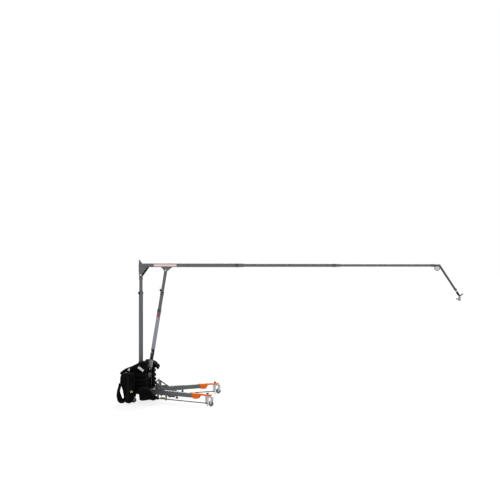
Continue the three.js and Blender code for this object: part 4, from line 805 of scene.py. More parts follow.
# The strut's bracket under the boom, with its bolt's plated heads.
STRUT_EYE = (0.440, 0.085)
BRACKET_ENDS, EDGE = (0.362, 0.548), BOOM_RISE - 0.033
hanger = wrapped([(*STRUT_EYE, 0.030), (BRACKET_ENDS[0] + 0.004, EDGE + 0.001, 0.004),
                  (BRACKET_ENDS[1] - 0.004, EDGE + 0.001, 0.004)], 200)
HANG_IN, HANG_OUT = 0.0158, 0.0238
between = (-HANG_IN - 0.002, HANG_IN + 0.002)
piece("strut_bracket_coat", [
    *both_faces(standing, hanger, HANG_IN, HANG_OUT, 0.0018),
    bar(PIVOT, (BRACKET_ENDS[0] + 0.003, BRACKET_ENDS[0] + 0.018), between, (0.118, 0.141), 0.003),
    bar(PIVOT, (BRACKET_ENDS[1] - 0.018, BRACKET_ENDS[1] - 0.003), between, (0.122, 0.141), 0.003),
    *weld_pair(PIVOT, (0.366, EDGE + 0.007), (0.544, EDGE + 0.007), 0.0242, 0.0035),
], coat_along["x"], "boom", "strut_bracket")
STRUT_BOLT = PIVOT.at(x=STRUT_EYE[0], z=STRUT_EYE[1])
heads = []
for side, top in ((-1, 0.0105), (1, 0.0098)):
    heads += bolt_head(STRUT_BOLT.facing(side * Y, Z), HANG_OUT, 0.0150, 0.0016, 0.0225, HANG_OUT + top, 0.0005)
piece("strut_top_bolt_heads", heads, yellow_zinc, "boom")


# ---------------------------------------------------------------- boom

BOOM = PIVOT.at(z=BOOM_RISE)
CLAMP, CLAMP_RISE = 0.060, 0.003


def knob_boss(place, foot, shoulder, top, weld):
    """The boss that a knob screws into, with the weld at its foot. The place's x runs out of the tube."""
    return [
        turned(place, [(foot, 0.0062), (foot, 0.0145), (shoulder, 0.013), (top, 0.013), (top, 0.0062)], 0.0012,
               hollow=True),
        weld_round(place, 0.0140, weld, 0.0024),
    ]


def clamped_tube(place, up, outer, inner, span, clamp, knob_x):
    """A tube along the place's x with its clamp collar and the knob's boss. The collar is 6 mm larger."""
    under, ring = outer / 2 - 0.001, outer / 2 + CLAMP_RISE
    return [
        tube(place, *span, outer, inner),
        turned(place, [(clamp[0], under), (clamp[0], ring - 0.0004), (clamp[1], ring - 0.0004), (clamp[1], under)],
               0.0016, hollow=True, sides=64),
        weld_round(place, outer / 2 + 0.0008, clamp[0] - 0.0006, 0.003),
        *knob_boss(place.at(x=knob_x).facing(OUT, up), outer / 2 - 0.002, ring + 0.003, ring + 0.0118,
                   ring + 0.0002),
    ]


def clamp_knob(name, out, up, screw, foot=0.0053, radius=0.024, high=0.022):
    """A lobed clamp knob on its steel screw, facing out from its own joint, which is on the boss's face."""
    place = Place(spot(name + "_turn"), out, up)
    piece(name + "_grip", lobed(place, radius, foot, foot + high, 0.011), black_plastic, name, name)
    piece(name + "_screw", [
        threaded(place, -screw, foot, 0.010, 0.0015),
        turned(place, [(foot + 0.3 * high, 0), (foot + 0.3 * high, 0.008), (foot + 0.9 * high, 0.008),
                       (foot + 0.96 * high, 0.0066), (foot + 0.96 * high, 0.003), (foot + 0.8 * high, 0.0026),
                       (foot + 0.8 * high, 0)], 0.0005)], bright, name)


for number, (outer, inner, start, mouth) in enumerate(STAGES, 1):
    body = "boom" if number == 1 else f"boom_stage_{number}"
    knob = f"boom_knob_{number}"
    knob_x = (spot(knob + "_turn") - PIVOT.origin)[0]
    clamp = (knob_x - CLAMP / 2, min(knob_x + CLAMP / 2, mouth))
    piece(f"boom_section_{number}_coat", clamped_tube(BOOM, Z, outer, inner, (start, mouth), clamp, knob_x),
          coat_along["x"], body, f"boom_section_{number}")
    screw = outer / 2 + CLAMP_RISE + 0.012 - inner / 2 - 0.0006
    clamp_knob(knob, OUT, Z, screw)


def sticker(place, radius, x, spread, middle=-90.0, thick=0.00022, rows=40):
    """Film stuck to a tube: a patch of the cylinder from angle middle - spread to middle + spread, where 0 is the
    place's y, closed over its own thickness, with corners rounded by pulling its ends in as |t| nears 1."""
    t = np.linspace(-1, 1, 41)
    f = np.radians(middle + spread * t)
    pull = 0.004 * (1 - np.sqrt(np.clip(1 - ((np.abs(t) - 0.82) / 0.18).clip(0, 1) ** 2, 0, 1)))
    s = np.linspace(0, 1, rows)[:, None]
    along = (x[0] + pull) * (1 - s) + (x[1] - pull) * s
    wide = lambda values: np.broadcast_to(values, along.shape)
    sheets = [np.stack([along, wide(r * np.cos(f)), wide(r * np.sin(f))], -1)
              for r in (radius + 0.00002, radius + thick)]
    facing, half_way = np.radians(middle), sum(x) / 2
    core, crown = place((half_way, 0, 0)), place((half_way, radius * np.cos(facing), radius * np.sin(facing)))
    skins = [Skin(place(sheet), round_cols=False, centre=core) for sheet in sheets]
    skins[0].turn_over()
    edges = (lambda g: g[0], lambda g: g[-1], lambda g: g[:, 0], lambda g: g[:, -1])
    rims = [Skin(place(np.stack([edge(sheets[0]), edge(sheets[1])])), round_cols=False, centre=crown)
            for edge in edges]
    return skins + rims


# A plain pale band with a thin red stripe above and below, on both sides of the boom.
BAND = (0.232, 0.632)
for side, middle, up in (("near", 180.0, -1), ("far", 0.0, 1)):
    piece(f"boom_band_pale_{side}", sticker(BOOM, BOOM_RADIUS, BAND, 33.0, middle), pale_film, "boom")
    for level, turn in (("upper", 46.5), ("lower", -46.5)):
        piece(f"boom_band_red_{side}_{level}", sticker(BOOM, BOOM_RADIUS, BAND, 12.5, middle + up * turn),
              red_film, "boom")


# ---------------------------------------------------------------- gooseneck and hanger

NECK, NECK_BORE = 0.038, 0.032
NECK_START, ELBOW, DROP_LENGTH = 4.820, 5.210, 0.520


def mitred(line, radii):
    """Tube walls carried along a bent line of (x, z). At a bend the ring lies in the plane that halves it:
    centre + y r cos f + n r sin f / cos(half the bend), which is the mitre's ellipse."""
    line = np.asarray(line, float)
    ahead = np.diff(line, axis=0)
    ahead /= np.linalg.norm(ahead, axis=1, keepdims=True)
    before, after = np.concatenate([ahead[:1], ahead]), np.concatenate([ahead, ahead[-1:]])
    way = before + after
    half = np.linalg.norm(way, axis=1, keepdims=True) / 2
    n = np.stack([-way[:, 1], way[:, 0]], 1) / (2 * half) / half
    f = np.linspace(0, TAU, 48, endpoint=False)
    rings = []
    for r, order in zip(radii, (1, -1)):
        flat = line[:, None] + n[:, None] * r * np.sin(f)[None, :, None]
        ring = np.stack([flat[..., 0], np.broadcast_to(r * np.cos(f), flat.shape[:2]), flat[..., 1]], -1)
        rings.append(ring[::order])
    return rings


elbow_line = [(NECK_START, 0), (ELBOW, 0),
              (ELBOW + DROP_LENGTH * FALL[0], DROP_LENGTH * FALL[2])]
outer_rings, inner_rings = mitred(elbow_line, (NECK / 2, NECK_BORE / 2))
neck_grid = BOOM(np.concatenate([outer_rings, inner_rings]))
GUSSET = BOOM.at(x=ELBOW - 0.040, z=-0.044).facing(OUT, Z)
piece("gooseneck_tube_coat", [
    Skin(neck_grid, round_rows=True),
    bead(BOOM(outer_rings[1] * (1, 1.01, 1)), 0.0032, ripple=0.16, waves=34),
    tube(GUSSET, -0.012, 0.012, 0.100, 0.086, 0.0016, 72),
    *knob_boss(DROP.at(x=-0.022).facing(OUT, Z), 0.017, 0.0215, 0.0308, 0.0188),
], coat_along["fall"], "gooseneck", "gooseneck_arm", crease=42)
piece("gooseneck_gusset_web", turned(GUSSET, [(-0.005, 0), (-0.005, 0.0434), (0.005, 0.0434), (0.005, 0)], 0.001),
      zinc, "gooseneck")
clamp_knob("gooseneck_knob", OUT, Z, 0.0145)

piece("drop_spud_steel", turned(DROP, [(-0.120, 0), (-0.120, 0.0135), (-0.117, 0.0155), (0.006, 0.0155),
                                       (0.0075, 0.0140), (0.0135, 0.0140), (0.015, 0.0155), (0.0447, 0.0155),
                                       (0.0477, 0.0125), (0.0477, 0)], 0.0006), bright, "spud", "drop_spud")
ear = wrapped([(0.112, 0, 0.013), (0.078, 0.0125, 0.0015), (0.078, -0.0125, 0.0015)])
groove = [(0.022, 0.0158), (0.022, 0.0185), (0.0235, 0.020), (0.036, 0.020), (0.0372, 0.0186), (0.0402, 0.0186),
          (0.0414, 0.020), (0.064, 0.020), (0.0652, 0.0186), (0.0682, 0.0186), (0.0694, 0.020), (0.082, 0.020),
          (0.084, 0.018), (0.084, 0), (0.048, 0), (0.048, 0.0158)]
piece("swivel_coupler_coat", [
    turned(DROP, groove, 0.0006, hollow=True, sides=64),
    *both_faces(DROP.standing(), ear, 0.0085, 0.0155, 0.0015),
], black_coat, "coupler", "swivel_coupler")

FALLING = TILT.facing((0, 0, -1), (1, 0, 0))
HANDLE = TILT.at(z=-0.050).facing((-1, 0, 0), (0, 0, 1))
piece("receiver_coat", [
    turned(FALLING, [(0.020, 0), (0.020, 0.0205), (0.0225, 0.023), (0.0815, 0.023), (0.084, 0.0205),
                     (0.084, 0.0152), (0.0832, 0.0143), (0.030, 0.0143), (0.030, 0)], 0.0007, sides=64),
    slab(TILT.standing(), wrapped([(0, 0, 0.013), (-0.0125, -0.026, 0.0015), (0.0125, -0.026, 0.0015)]),
         -0.008, 0.008),
    tube(HANDLE, 0.0155, 0.032, 0.024, 0.0126),
    weld_round(HANDLE, 0.0120, 0.0232, 0.0022),
], worn_zinc, "receiver_body", "receiver")

piece("receiver_t_handle_steel", [
    threaded(HANDLE, 0.0148, 0.0323, 0.012, 0.00175),
    turned(HANDLE, [(0.0323, 0), (0.0323, 0.0075), (0.035, 0.009), (0.0565, 0.009), (0.0593, 0.0065), (0.0593, 0)],
           0.0014),
    turned(HANDLE.at(x=0.0513).facing((0, 1, 0), (0, 0, 1)), mirrored([
        (-0.032, 0), (-0.032, 0.0035), (-0.0295, 0.0055), (-0.024, 0.0055), (-0.020, 0.0044)]), 0.0012),
], black_coat, "t_handle", "receiver_t_handle")

LEVER_SEAT, LEVER_RISE, LEVER_REACH = 0.0158, np.radians(35), 0.078
tip = (LEVER_REACH - 0.008) * np.array([np.cos(LEVER_RISE), np.sin(LEVER_RISE)])
piece("tilt_lever_grip", slab(TILT.standing(), wrapped([(0, 0, 0.0115), (*(0.35 * tip), 0.0062), (*tip, 0.008)]),
                              LEVER_SEAT, LEVER_SEAT + 0.007, 0.0024), black_coat, "lever", "tilt_lever")
piece("tilt_lever_bolt", [
    rod(TILT.facing((0, -1, 0), (0, 0, 1)), -0.0228, 0.0238, 0.010, 0.001),
    hexagon(TILT.facing((0, 1, 0), (0, 0, 1)), 0.017, LEVER_SEAT, 0.0228),
], bright, "lever")


# ---------------------------------------------------------------- strut

FOOT_TUBE, MAIN_TUBE, UPPER_TUBE = 0.061, 0.067, 0.054
FOOT_SPAN = (0.0523, 0.730)
STRUT_TOP = np.linalg.norm(STRUT_BOLT.origin - STRUT.origin)
lug = wrapped([(0, 0, 0.026), (0.046, 0.030, 0.003), (0.046, -0.030, 0.003)])
piece("strut_foot_coat", [
    slab(STRUT.standing(), lug, -0.015, 0.015, 0.002),
    turned(STRUT, [(0.036, 0), (0.036, 0.0335), (0.0385, 0.0358), (0.1625, 0.0358), (0.165, 0.0335),
                   (0.165, 0.0308), (0.052, 0.0308), (0.052, 0)], 0.0014, sides=64),
], sleeve_grey, "strut_root", "strut_foot")
piece("strut_foot_tube_coat", tube(STRUT, *FOOT_SPAN, FOOT_TUBE, 0.055), black_coat, "strut_root",
      "strut_foot_tube")

# The foot tube's own lock: a split collar, a swing lever and the loop of wire that holds its pin.
LOCK = STRUT.at(x=0.262)
piece("strut_lock_collar", [
    tube(LOCK, -0.015, 0.015, 0.069, 0.0616, 0.0012, 64),
    rod(LOCK.facing(OUT, X), 0.032, 0.046, 0.015, 0.0015),
], black_coat, "strut_root")
s = np.linspace(0, 1, 30)[:, None]
lever_line = LOCK(np.concatenate([0.006 + 0.058 * s, -0.0475 - 0.006 * np.sin(np.pi * s), 0.012 * s ** 2], 1))
piece("strut_lock_lever", bead(lever_line, 0.0046, closed=False, centre=LOCK.origin), bright, "strut_root")
around = np.linspace(0, TAU, 72, endpoint=False)
wire = LOCK(np.stack([-0.012 + 0.021 * np.cos(around), -0.0375 - 0.006 * np.sin(around) ** 2,
                      0.012 + 0.017 * np.sin(around)], 1))
piece("strut_lock_wire", bead(wire, 0.0013), bright, "strut_root")

MAIN_SPAN, MID_SPAN = (0.345, 1.062), (0.800, 1.372)
for name, outer, inner, span, knob_x in (("main", MAIN_TUBE, 0.062, MAIN_SPAN, 1.034),
                                         ("mid", FOOT_TUBE, 0.055, MID_SPAN, 1.344)):
    clamp = (span[1] - CLAMP, span[1])
    piece(f"strut_{name}_coat", clamped_tube(STRUT, X, outer, inner, span, clamp, knob_x), coat_along["strut"],
          f"strut_{name}", f"strut_{name}_tube")
for knob in ("strut_main_knob", "strut_mid_knob"):
    clamp_knob(knob, OUT, UP, 0.0172)

# The eye's neck is long enough that the tube's end stays clear of the cheeks with the boom lowered.
EYE_NECK = STRUT_TOP - 0.072
eye_outline = wrapped([(STRUT_TOP, 0, 0.026), (EYE_NECK, 0.0225, 0.003), (EYE_NECK, -0.0225, 0.003)])
piece("strut_upper_coat", [
    tube(STRUT, 1.010, EYE_NECK + 0.002, UPPER_TUBE, 0.048),
    slab(STRUT.standing(), eye_outline, -0.0148, 0.0148, 0.002),
    rod(STRUT, EYE_NECK - 0.002, EYE_NECK + 0.0035, 0.0524, 0.001, 48),
], coat_along["strut"], "strut_upper", "strut_upper_tube")

# The rest pin above the mid tube's mouth, on its loop of wire.
rest_pin = STRUT.at(x=MID_SPAN[1] + 0.020).facing((0, -0.6, 0.8), X)
piece("strut_rest_pin", turned(rest_pin, [
    (0.0272, 0), (0.0272, 0.0100), (0.030, 0.0115), (0.036, 0.0115), (0.036, 0.0175), (0.050, 0.0175),
    (0.053, 0.0140), (0.053, 0)], 0.0012), black_plastic, "strut_mid")
pin_wire = oval(rest_pin, (0.066, 0, 0.018), (0.026, 0, 0), (0, 0.004, 0.030))
piece("strut_rest_pin_wire", bead(pin_wire, 0.0017), black_coat, "strut_mid")
piece("strut_label_film", sticker(STRUT, MAIN_TUBE / 2, (0.362, 0.925), 62.0, 180.0, rows=60), lilac_film,
      "strut_main")
piece("strut_red_band", tube(STRUT, 0.934, 0.956, 0.0676, MAIN_TUBE, 0.0001, 64), red_film, "strut_main")


# ---------------------------------------------------------------- base

DECK_TOP, SOCKET_TOP, SOCKET = 0.2033, 0.660, 0.0886
# The frame and the mast socket take the black coat, not the frame's grey paint: the black is painted shade for the
# dark base under and between the bags.
softened("chassis_frame", "_coat", black_coat, "chassis", 0.0016)
piece("mast_socket_coat", [
    tube(MAST, DECK_TOP, SOCKET_TOP + 0.0004, SOCKET + 0.0006, MAST_TUBE + 0.001, 0.0025, 72),
    weld_round(MAST, SOCKET / 2 + 0.0005, DECK_TOP + 0.001, 0.005),
], black_coat, "chassis")

# Grey face plate on the front stop, round its window, and the grey gussets under the strut's ears.
STOP_FACE, STOP_TOP, STOP_HALF = 0.2984, 0.342, 0.149
WINDOW_FOOT, WINDOW_TOP, WINDOW_HALF = DECK_TOP + 0.035, 0.318, 0.101
face_bars = [((-STOP_HALF, -WINDOW_HALF), (DECK_TOP, STOP_TOP)), ((WINDOW_HALF, STOP_HALF), (DECK_TOP, STOP_TOP)),
             ((-WINDOW_HALF, WINDOW_HALF), (DECK_TOP, WINDOW_FOOT)),
             ((-WINDOW_HALF, WINDOW_HALF), (WINDOW_TOP, STOP_TOP))]
piece("front_stop_face", [bar(BASE, (STOP_FACE, STOP_FACE + 0.0018), y, z, 0.0005, 0.0005) for y, z in face_bars],
      coat_along["z"], "chassis")
gusset = eased([(0.136, 0.468), (0.136, 0.395), (0.150, 0.372), (0.184, 0.440), (0.184, 0.468)], 0.003, held=False)
piece("strut_post_gussets", both_faces(BASE.standing(), gusset, 0.0257, 0.0290, 0.0008), sleeve_grey, "chassis")

deck_bolts = []
for x in (-0.070, 0.258):
    for y in (-0.185, 0.185):
        deck_bolts += bolt_head(BASE.at(x, y, DECK_TOP).facing(Z, X), 0, 0.0125, 0.0016, 0.017, 0.0085)
piece("deck_bolts", deck_bolts, zinc, "chassis")

PIN_SEAT, PIN_END = 0.0258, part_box("strut_foot_pin")[1][1]
pin = [rod(Place(STRUT.origin, OUT, Z), -PIN_SEAT, PIN_SEAT, 0.016)]
for side in (-1, 1):
    pin.append(turned(Place(STRUT.origin, side * OUT, Z), [
        (PIN_SEAT, 0), (PIN_SEAT, 0.0130), (PIN_END - 0.002, 0.0130), (PIN_END, 0.0105), (PIN_END, 0.005),
        (PIN_END - 0.004, 0.0045), (PIN_END - 0.004, 0)], 0.0006))
piece("strut_foot_pin_plated", pin, zinc, "chassis", "strut_foot_pin")


# ---------------------------------------------------------------- legs, jacks and casters

LEG_HEIGHT = 0.155
LEG_WIDTH, LEG_DEPTH = 0.055, 0.071
TUBE_FROM, TUBE_TO = 0.200, 0.997
JACK_AT, TIE_HEIGHT, TIE_ROD = 1.200, 0.045, 0.0158


def caster(end, side):
    """A swivel caster: crown with its ball race, fork cheeks, axle bolt, hub with six ribs, and a crowned tyre."""
    name = f"{end}_caster_{side}"
    roll = axis_of(name + "_roll")
    foot = Place(spot(name + "_swivel") * (1, 1, 0), np.cross(roll, Z))
    up = foot.facing((0, 0, 1), (1, 0, 0))
    hub = Place(spot(name + "_roll"), roll, Z)
    ways = (hub, hub.facing(-X, Z))
    half, inner, cheek_thick = 0.012, 0.0131, 0.0038
    cheek_line = wrapped([(-0.013, 0.112, 0.004), (0.020, 0.112, 0.004), (0.020, 0.045, 0.0125)])
    race = [turned(up, [(0.1105, 0), (0.1105, 0.021), (0.1125, 0.024), (0.117, 0.024), (0.117, 0)], 0.0012),
            bead(ring_line(up, 0.0205, 0.1105), 0.0018),
            rod(up, 0.117, 0.147, 0.014, 0.001)]
    forks = both_faces(foot.standing(), cheek_line, inner, inner + cheek_thick, 0.0011)
    piece(name + "_fork_plated", race + forks, zinc, name + "_fork", name + "_fork")
    axle = [rod(hub, -0.017, 0.017, 0.0118)]
    for way in ways:
        axle += bolt_head(way, 0.0169, 0.009, 0.0012, 0.0135, 0.0206, 0.0003)
    piece(name + "_axle", axle, bright, name + "_fork")
    tread_line = [(-half, 0.034), (-half, 0.0405), (-half * 0.72, 0.0444), (0, 0.0450), (half * 0.72, 0.0444),
                  (half, 0.0405), (half, 0.034)]
    piece(name + "_tyre", turned(hub, tread_line, 0.0012, hollow=True, sides=72), tread, name + "_wheel",
          name + "_wheel")
    core_line = mirrored([(-half, 0.0066), (-half, 0.0125), (-0.006, 0.0145), (-0.004, 0.0165), (-0.004, 0.029),
                          (-0.0105, 0.0325), (-0.0105, 0.0345)])
    core = [turned(hub, core_line, 0.0006, hollow=True, sides=64)]
    for angle in np.arange(6) * TAU / 6:
        spoke = hub.facing(X, (0, np.sin(angle), np.cos(angle)))
        core.append(bar(spoke, (-0.0086, 0.0086), (-0.0015, 0.0015), (0.0125, 0.0315), 0.0006, 0.0004))
    piece(name + "_hub", core, hub_plastic, name + "_wheel")
    piece(name + "_bearing", [tube(way, half - 0.001, half + 0.0006, 0.0216, 0.0132, 0.0004) for way in ways],
          bright, name + "_wheel")


for side, leg in LEGS.items():
    axis = leg.at(z=LEG_HEIGHT)
    coat, body = coat_along[side], f"leg_{side}"
    softened(f"leg_socket_{side}", "_coat", coat, "chassis", 0.0012)
    piece(f"leg_tube_{side}_coat", box_tube(axis, TUBE_FROM, TUBE_TO, LEG_WIDTH, LEG_DEPTH, 0.003, 0.007), coat, body,
          f"leg_tube_{side}")
    softened(f"leg_end_bracket_{side}", "_coat", orange_coat, body, 0.0016)
    softened(f"foot_bracket_{side}", "_plated", zinc, body, 0.0010)

    pins = []
    for x in (0.910, 0.965):
        for out in (OUT, Y):
            pins += bolt_head(axis.at(x=x).facing(out, Z), 0.0337, 0.0085, 0.0014, 0.0115, 0.0390)
    piece(f"leg_end_bolts_{side}", pins, orange_coat, body)

    # The guides' tie plate in yellow zinc, and the plated clamp bolt that hangs from the socket's underside.
    plate = eased([(0.262, 0.056), (0.388, 0.056), (0.388, 0.080), (0.262, 0.080)], 0.004, held=False)
    piece(f"tie_guide_plate_{side}", slab(leg.standing(), plate, 0.0222, 0.0250, 0.0006), yellow_zinc, "chassis")
    start, end = (0.330, 0.476) if side == "far" else (0.404, 0.550)
    shoe = eased([(start, 0.1125), (start + 0.006, 0.098), (end - 0.010, 0.094), (end, 0.1125)], 0.004, held=False)
    piece(f"leg_clamp_shoe_{side}", slab(leg.standing(), shoe, -0.020, 0.020, 0.0015), black_coat, "chassis")
    clamp = leg.at(x=0.440, z=0.0985).facing(-Z, X)
    piece(f"leg_clamp_bolt_{side}", [
        rod(clamp, 0, 0.003, 0.033, 0.0006, 48),
        rod(clamp, 0.002, 0.026, 0.020, 0.0015), hexagon(clamp, 0.028, 0.004, 0.014)], bright, "chassis")

    jack = leg.at(x=JACK_AT).facing(Z, X)
    piece(f"foot_tubes_{side}_plated", [
        tube(jack, 0.0698, 0.1687, 0.0344, 0.0222, 0.0012),
        weld_round(jack, 0.0172, 0.1405, 0.0025),
    ], zinc, body)

    tie = leg.at(z=TIE_HEIGHT)
    piece(f"tie_rod_{side}_coat", [
        rod(tie, 0.180, 1.082, TIE_ROD, 0.001), threaded(tie, 1.080, 1.202, TIE_ROD, 0.002),
        hexagon(tie, 0.0225, 1.1725, 1.1855)], black_coat, body, f"tie_rod_{side}")

    piece(f"jack_screw_{side}_plated", [
        threaded(jack, 0.0135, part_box(f"jack_screw_{side}")[1][2], 0.020, 0.005, 0.0016),
        turned(jack, [(0.004, 0), (0.004, 0.0135), (0.0065, 0.016), (0.0115, 0.016), (0.014, 0.0125), (0.014, 0)],
               0.001),
    ], bright, f"jack_screw_{side}", f"jack_screw_{side}")
    low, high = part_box(f"jack_knob_{side}")
    piece(f"jack_knob_{side}_grip", lobed(jack, 0.026, low[2] + 0.006, high[2], 0.012),
          black_plastic, f"jack_knob_{side}", f"jack_knob_{side}")

    clamp_knob(f"leg_lock_knob_{side}", -Z, X, 0.0125)
    for end_name in ("front", "rear"):
        caster(end_name, side)


# ---------------------------------------------------------------- sandbags

COURSE, STACK_Y = 0.0752, (0.055, 0.333)
STACKS = {"near": ((-0.235, 0.160), 4, 0.068), "far": ((-0.102, 0.222), 5, 0.060)}
STACK_FOOT = DECK_TOP + 0.0003


def flat_bag(middle, half, low, high, seed, turn=0.0):
    """A sandbag lying flat: two panels over (s, t) in [-1, 1] that meet in a seam round the middle of its height.
    Each stands H/2 ((1 - |s|^p)(1 - |t|^p))^q off the seam, the sides pull in between the corners by a share of
    1 - t^4, and folds go inwards, deepest at the edges, so that a bag never enters its neighbour."""
    n = np.sin(np.linspace(-np.pi / 2, np.pi / 2, 57))
    m = np.sin(np.linspace(-np.pi / 2, np.pi / 2, 45))
    s, t = np.meshgrid(n, m, indexing="ij")
    rng = np.random.default_rng(seed)
    a, b = half
    x = a * s * (1 - 0.035 * (1 - t ** 4)) * (1 - 0.055 * s ** 4 * t ** 4)
    y = b * t * (1 - 0.04 * (1 - s ** 4)) * (1 - 0.055 * s ** 4 * t ** 4)
    rise = (np.clip(1 - np.abs(s) ** 10, 0, 1) * np.clip(1 - np.abs(t) ** 10, 0, 1)) ** 0.36
    edge = np.maximum(np.abs(s), np.abs(t)) ** 6
    c, d = np.cos(turn), np.sin(turn)
    skins, worn, seam = [], [], None
    seam_z = (low + high) / 2 + 0.004 * np.sin(5 * np.arctan2(t, s) + rng.uniform(0, 6))
    for side in (-1, 1):
        depth = (high - seam_z if side > 0 else seam_z - low) * rise
        flat = np.stack([x, y, side * depth], -1)
        fold = wrinkle(flat * (1, 1, 0.35) + seed, seed + side, 0.085)
        pull = (0.35 + 0.65 * edge) * (0.15 + rise * (1 - rise) * 4)
        shrink = 1 - 0.055 * edge * fold * (rise > 0.01)
        z = seam_z + side * depth * (1 - 0.22 * fold * pull)
        px, py = x * shrink, y * shrink
        grid = np.stack([middle[0] + c * px - d * py, middle[1] + d * px + c * py, z], -1)
        skins.append(Skin(BASE(grid), round_cols=False, centre=BASE((*middle, (low + high) / 2))))
        worn.append(1 - fold * 0.8 + 0.3 * edge)
        if side > 0:
            seam = np.concatenate([grid[:, 0], grid[-1, 1:], grid[-2::-1, -1], grid[0, -2:0:-1]])
    return skins, worn, bead(BASE(seam), 0.0024, ripple=0.05, waves=90, sides=8)


def ribbon(line, across, width, thick=0.0016):
    """Flat webbing: a rounded rectangle, width by thick, carried along a line; its face is square to across."""
    line = np.asarray(line, float)
    ahead = np.gradient(line, axis=0)
    ahead /= np.linalg.norm(ahead, axis=1, keepdims=True)
    across = np.broadcast_to(np.asarray(across, float), line.shape)
    across = across - (across * ahead).sum(1, keepdims=True) * ahead
    across /= np.linalg.norm(across, axis=1, keepdims=True)
    face = np.cross(ahead, across)
    section = box_outline((-width / 2, width / 2), (-thick / 2, thick / 2), thick * 0.4, 2)
    grid = line[:, None] + section[None, :, :1] * across[:, None] + section[None, :, 1:] * face[:, None]
    ends = np.broadcast_to(line[[0, -1]][:, None], (2,) + grid.shape[1:])
    skin = Skin(np.concatenate([ends[:1], grid, ends[1:]]))
    skin.face_away(line[np.repeat(np.concatenate([[0], np.arange(len(line))]), len(section))])
    return skin


def loop_line(a, b, out, bulge, steps=30):
    """A handle's line from a to b that stands off by bulge sin(pi s) towards out."""
    s = np.linspace(0, 1, steps)[:, None]
    return np.asarray(a) * (1 - s) + np.asarray(b) * s + bulge * np.sin(np.pi * s) * np.asarray(out, float)


for side, sign in SIDES.items():
    (rear, front), courses, handle_x = STACKS[side]
    stack_half = ((front - rear) / 2, (STACK_Y[1] - STACK_Y[0]) / 2)
    skins, worn, seams, handles = [], [], [], []
    rng = np.random.default_rng(40 + sign)
    for i in range(courses):
        shift = rng.uniform(-0.004, 0.004, 2)
        middle = ((rear + front) / 2 + shift[0], sign * (sum(STACK_Y) / 2 + 0.002) + shift[1])
        low = STACK_FOOT + i * COURSE
        bag, rubs, seam = flat_bag(middle, (stack_half[0] + 0.003, stack_half[1] + 0.001), low,
                                   low + COURSE - 0.0006, 11 * i + 3 * sign + 20, rng.uniform(-0.009, 0.009))
        skins += bag
        worn += rubs
        seams.append(seam)
        outer = middle[1] + sign * (stack_half[1] - 0.010)
        level = low + COURSE * 0.5
        slack = loop_line((handle_x - 0.080, outer, level + 0.012), (handle_x + 0.080, outer, level + 0.010),
                          (0, sign * 0.7, -0.7), 0.024 + rng.uniform(-0.006, 0.006))
        handles.append(ribbon(BASE(slack), (0, 0.6 * sign, 1), 0.025))
    stack = piece(f"sandbag_stack_{side}", skins, bag_cloth, "chassis", f"ballast_stack_{side}",
                  worn=np.concatenate([w.ravel() for w in worn]))
    piece(f"sandbag_stack_{side}_binding", seams, binding, "chassis")
    piece(f"sandbag_stack_{side}_handles", handles, webbing, "chassis")


def lofted(middles, half_x, half_n, normals, powers, seed, fold_size, fold_depth, stretch, sides=88, across=X):
    """A bag carried along a line of middles. Its section is |cos|^a across and |sin|^b along the normal, each times
    its half size, and folds press it inwards along the grid's own normals. Its ends close to a point."""
    f = np.linspace(0, TAU, sides, endpoint=False)
    c = signed_power(np.cos(f), powers[0])[None, :, None]
    d = signed_power(np.sin(f), powers[1])[None, :, None]
    grid = middles[:, None] + half_x[:, None, None] * c * across + half_n[:, None, None] * d * normals[:, None]
    fold = wrinkle(grid * stretch + 0.37 * seed, seed, fold_size)
    fine = wrinkle(grid * stretch * 2.3, seed + 5, fold_size)
    n = grid_normals(grid)
    outward = ((grid - middles[:, None]) * n).sum() > 0
    n = n if outward else -n
    slack = np.minimum(half_n, half_x)[:, None] / max(half_n.max(), 1e-6)
    grid = grid - n * (fold_depth * (fold + 0.3 * fine) * np.clip(slack * 1.4, 0, 1))[..., None]
    grid[0], grid[-1] = grid[0].mean(0), grid[-1].mean(0)
    return grid, 1.05 - 0.9 * fold - 0.2 * fine


def edge_seams(name, grid, centre):
    """Bound seams along the two edges of a lofted bag."""
    columns = grid.shape[1]
    piece(name + "_binding", [bead(BASE(grid[2:-2, i]), 0.0025, ripple=0.05, waves=130, closed=False,
                                   centre=BASE(centre), sides=8) for i in (0, columns // 2)], binding, "chassis")


def smooth_between(points, at, window=9):
    """Values from a table of (position, value), joined by straight lines and then averaged over a few samples."""
    values = np.interp(at, *np.array(points, float).T)
    return np.convolve(np.pad(values, window // 2, "edge"), np.ones(window) / window, "valid")


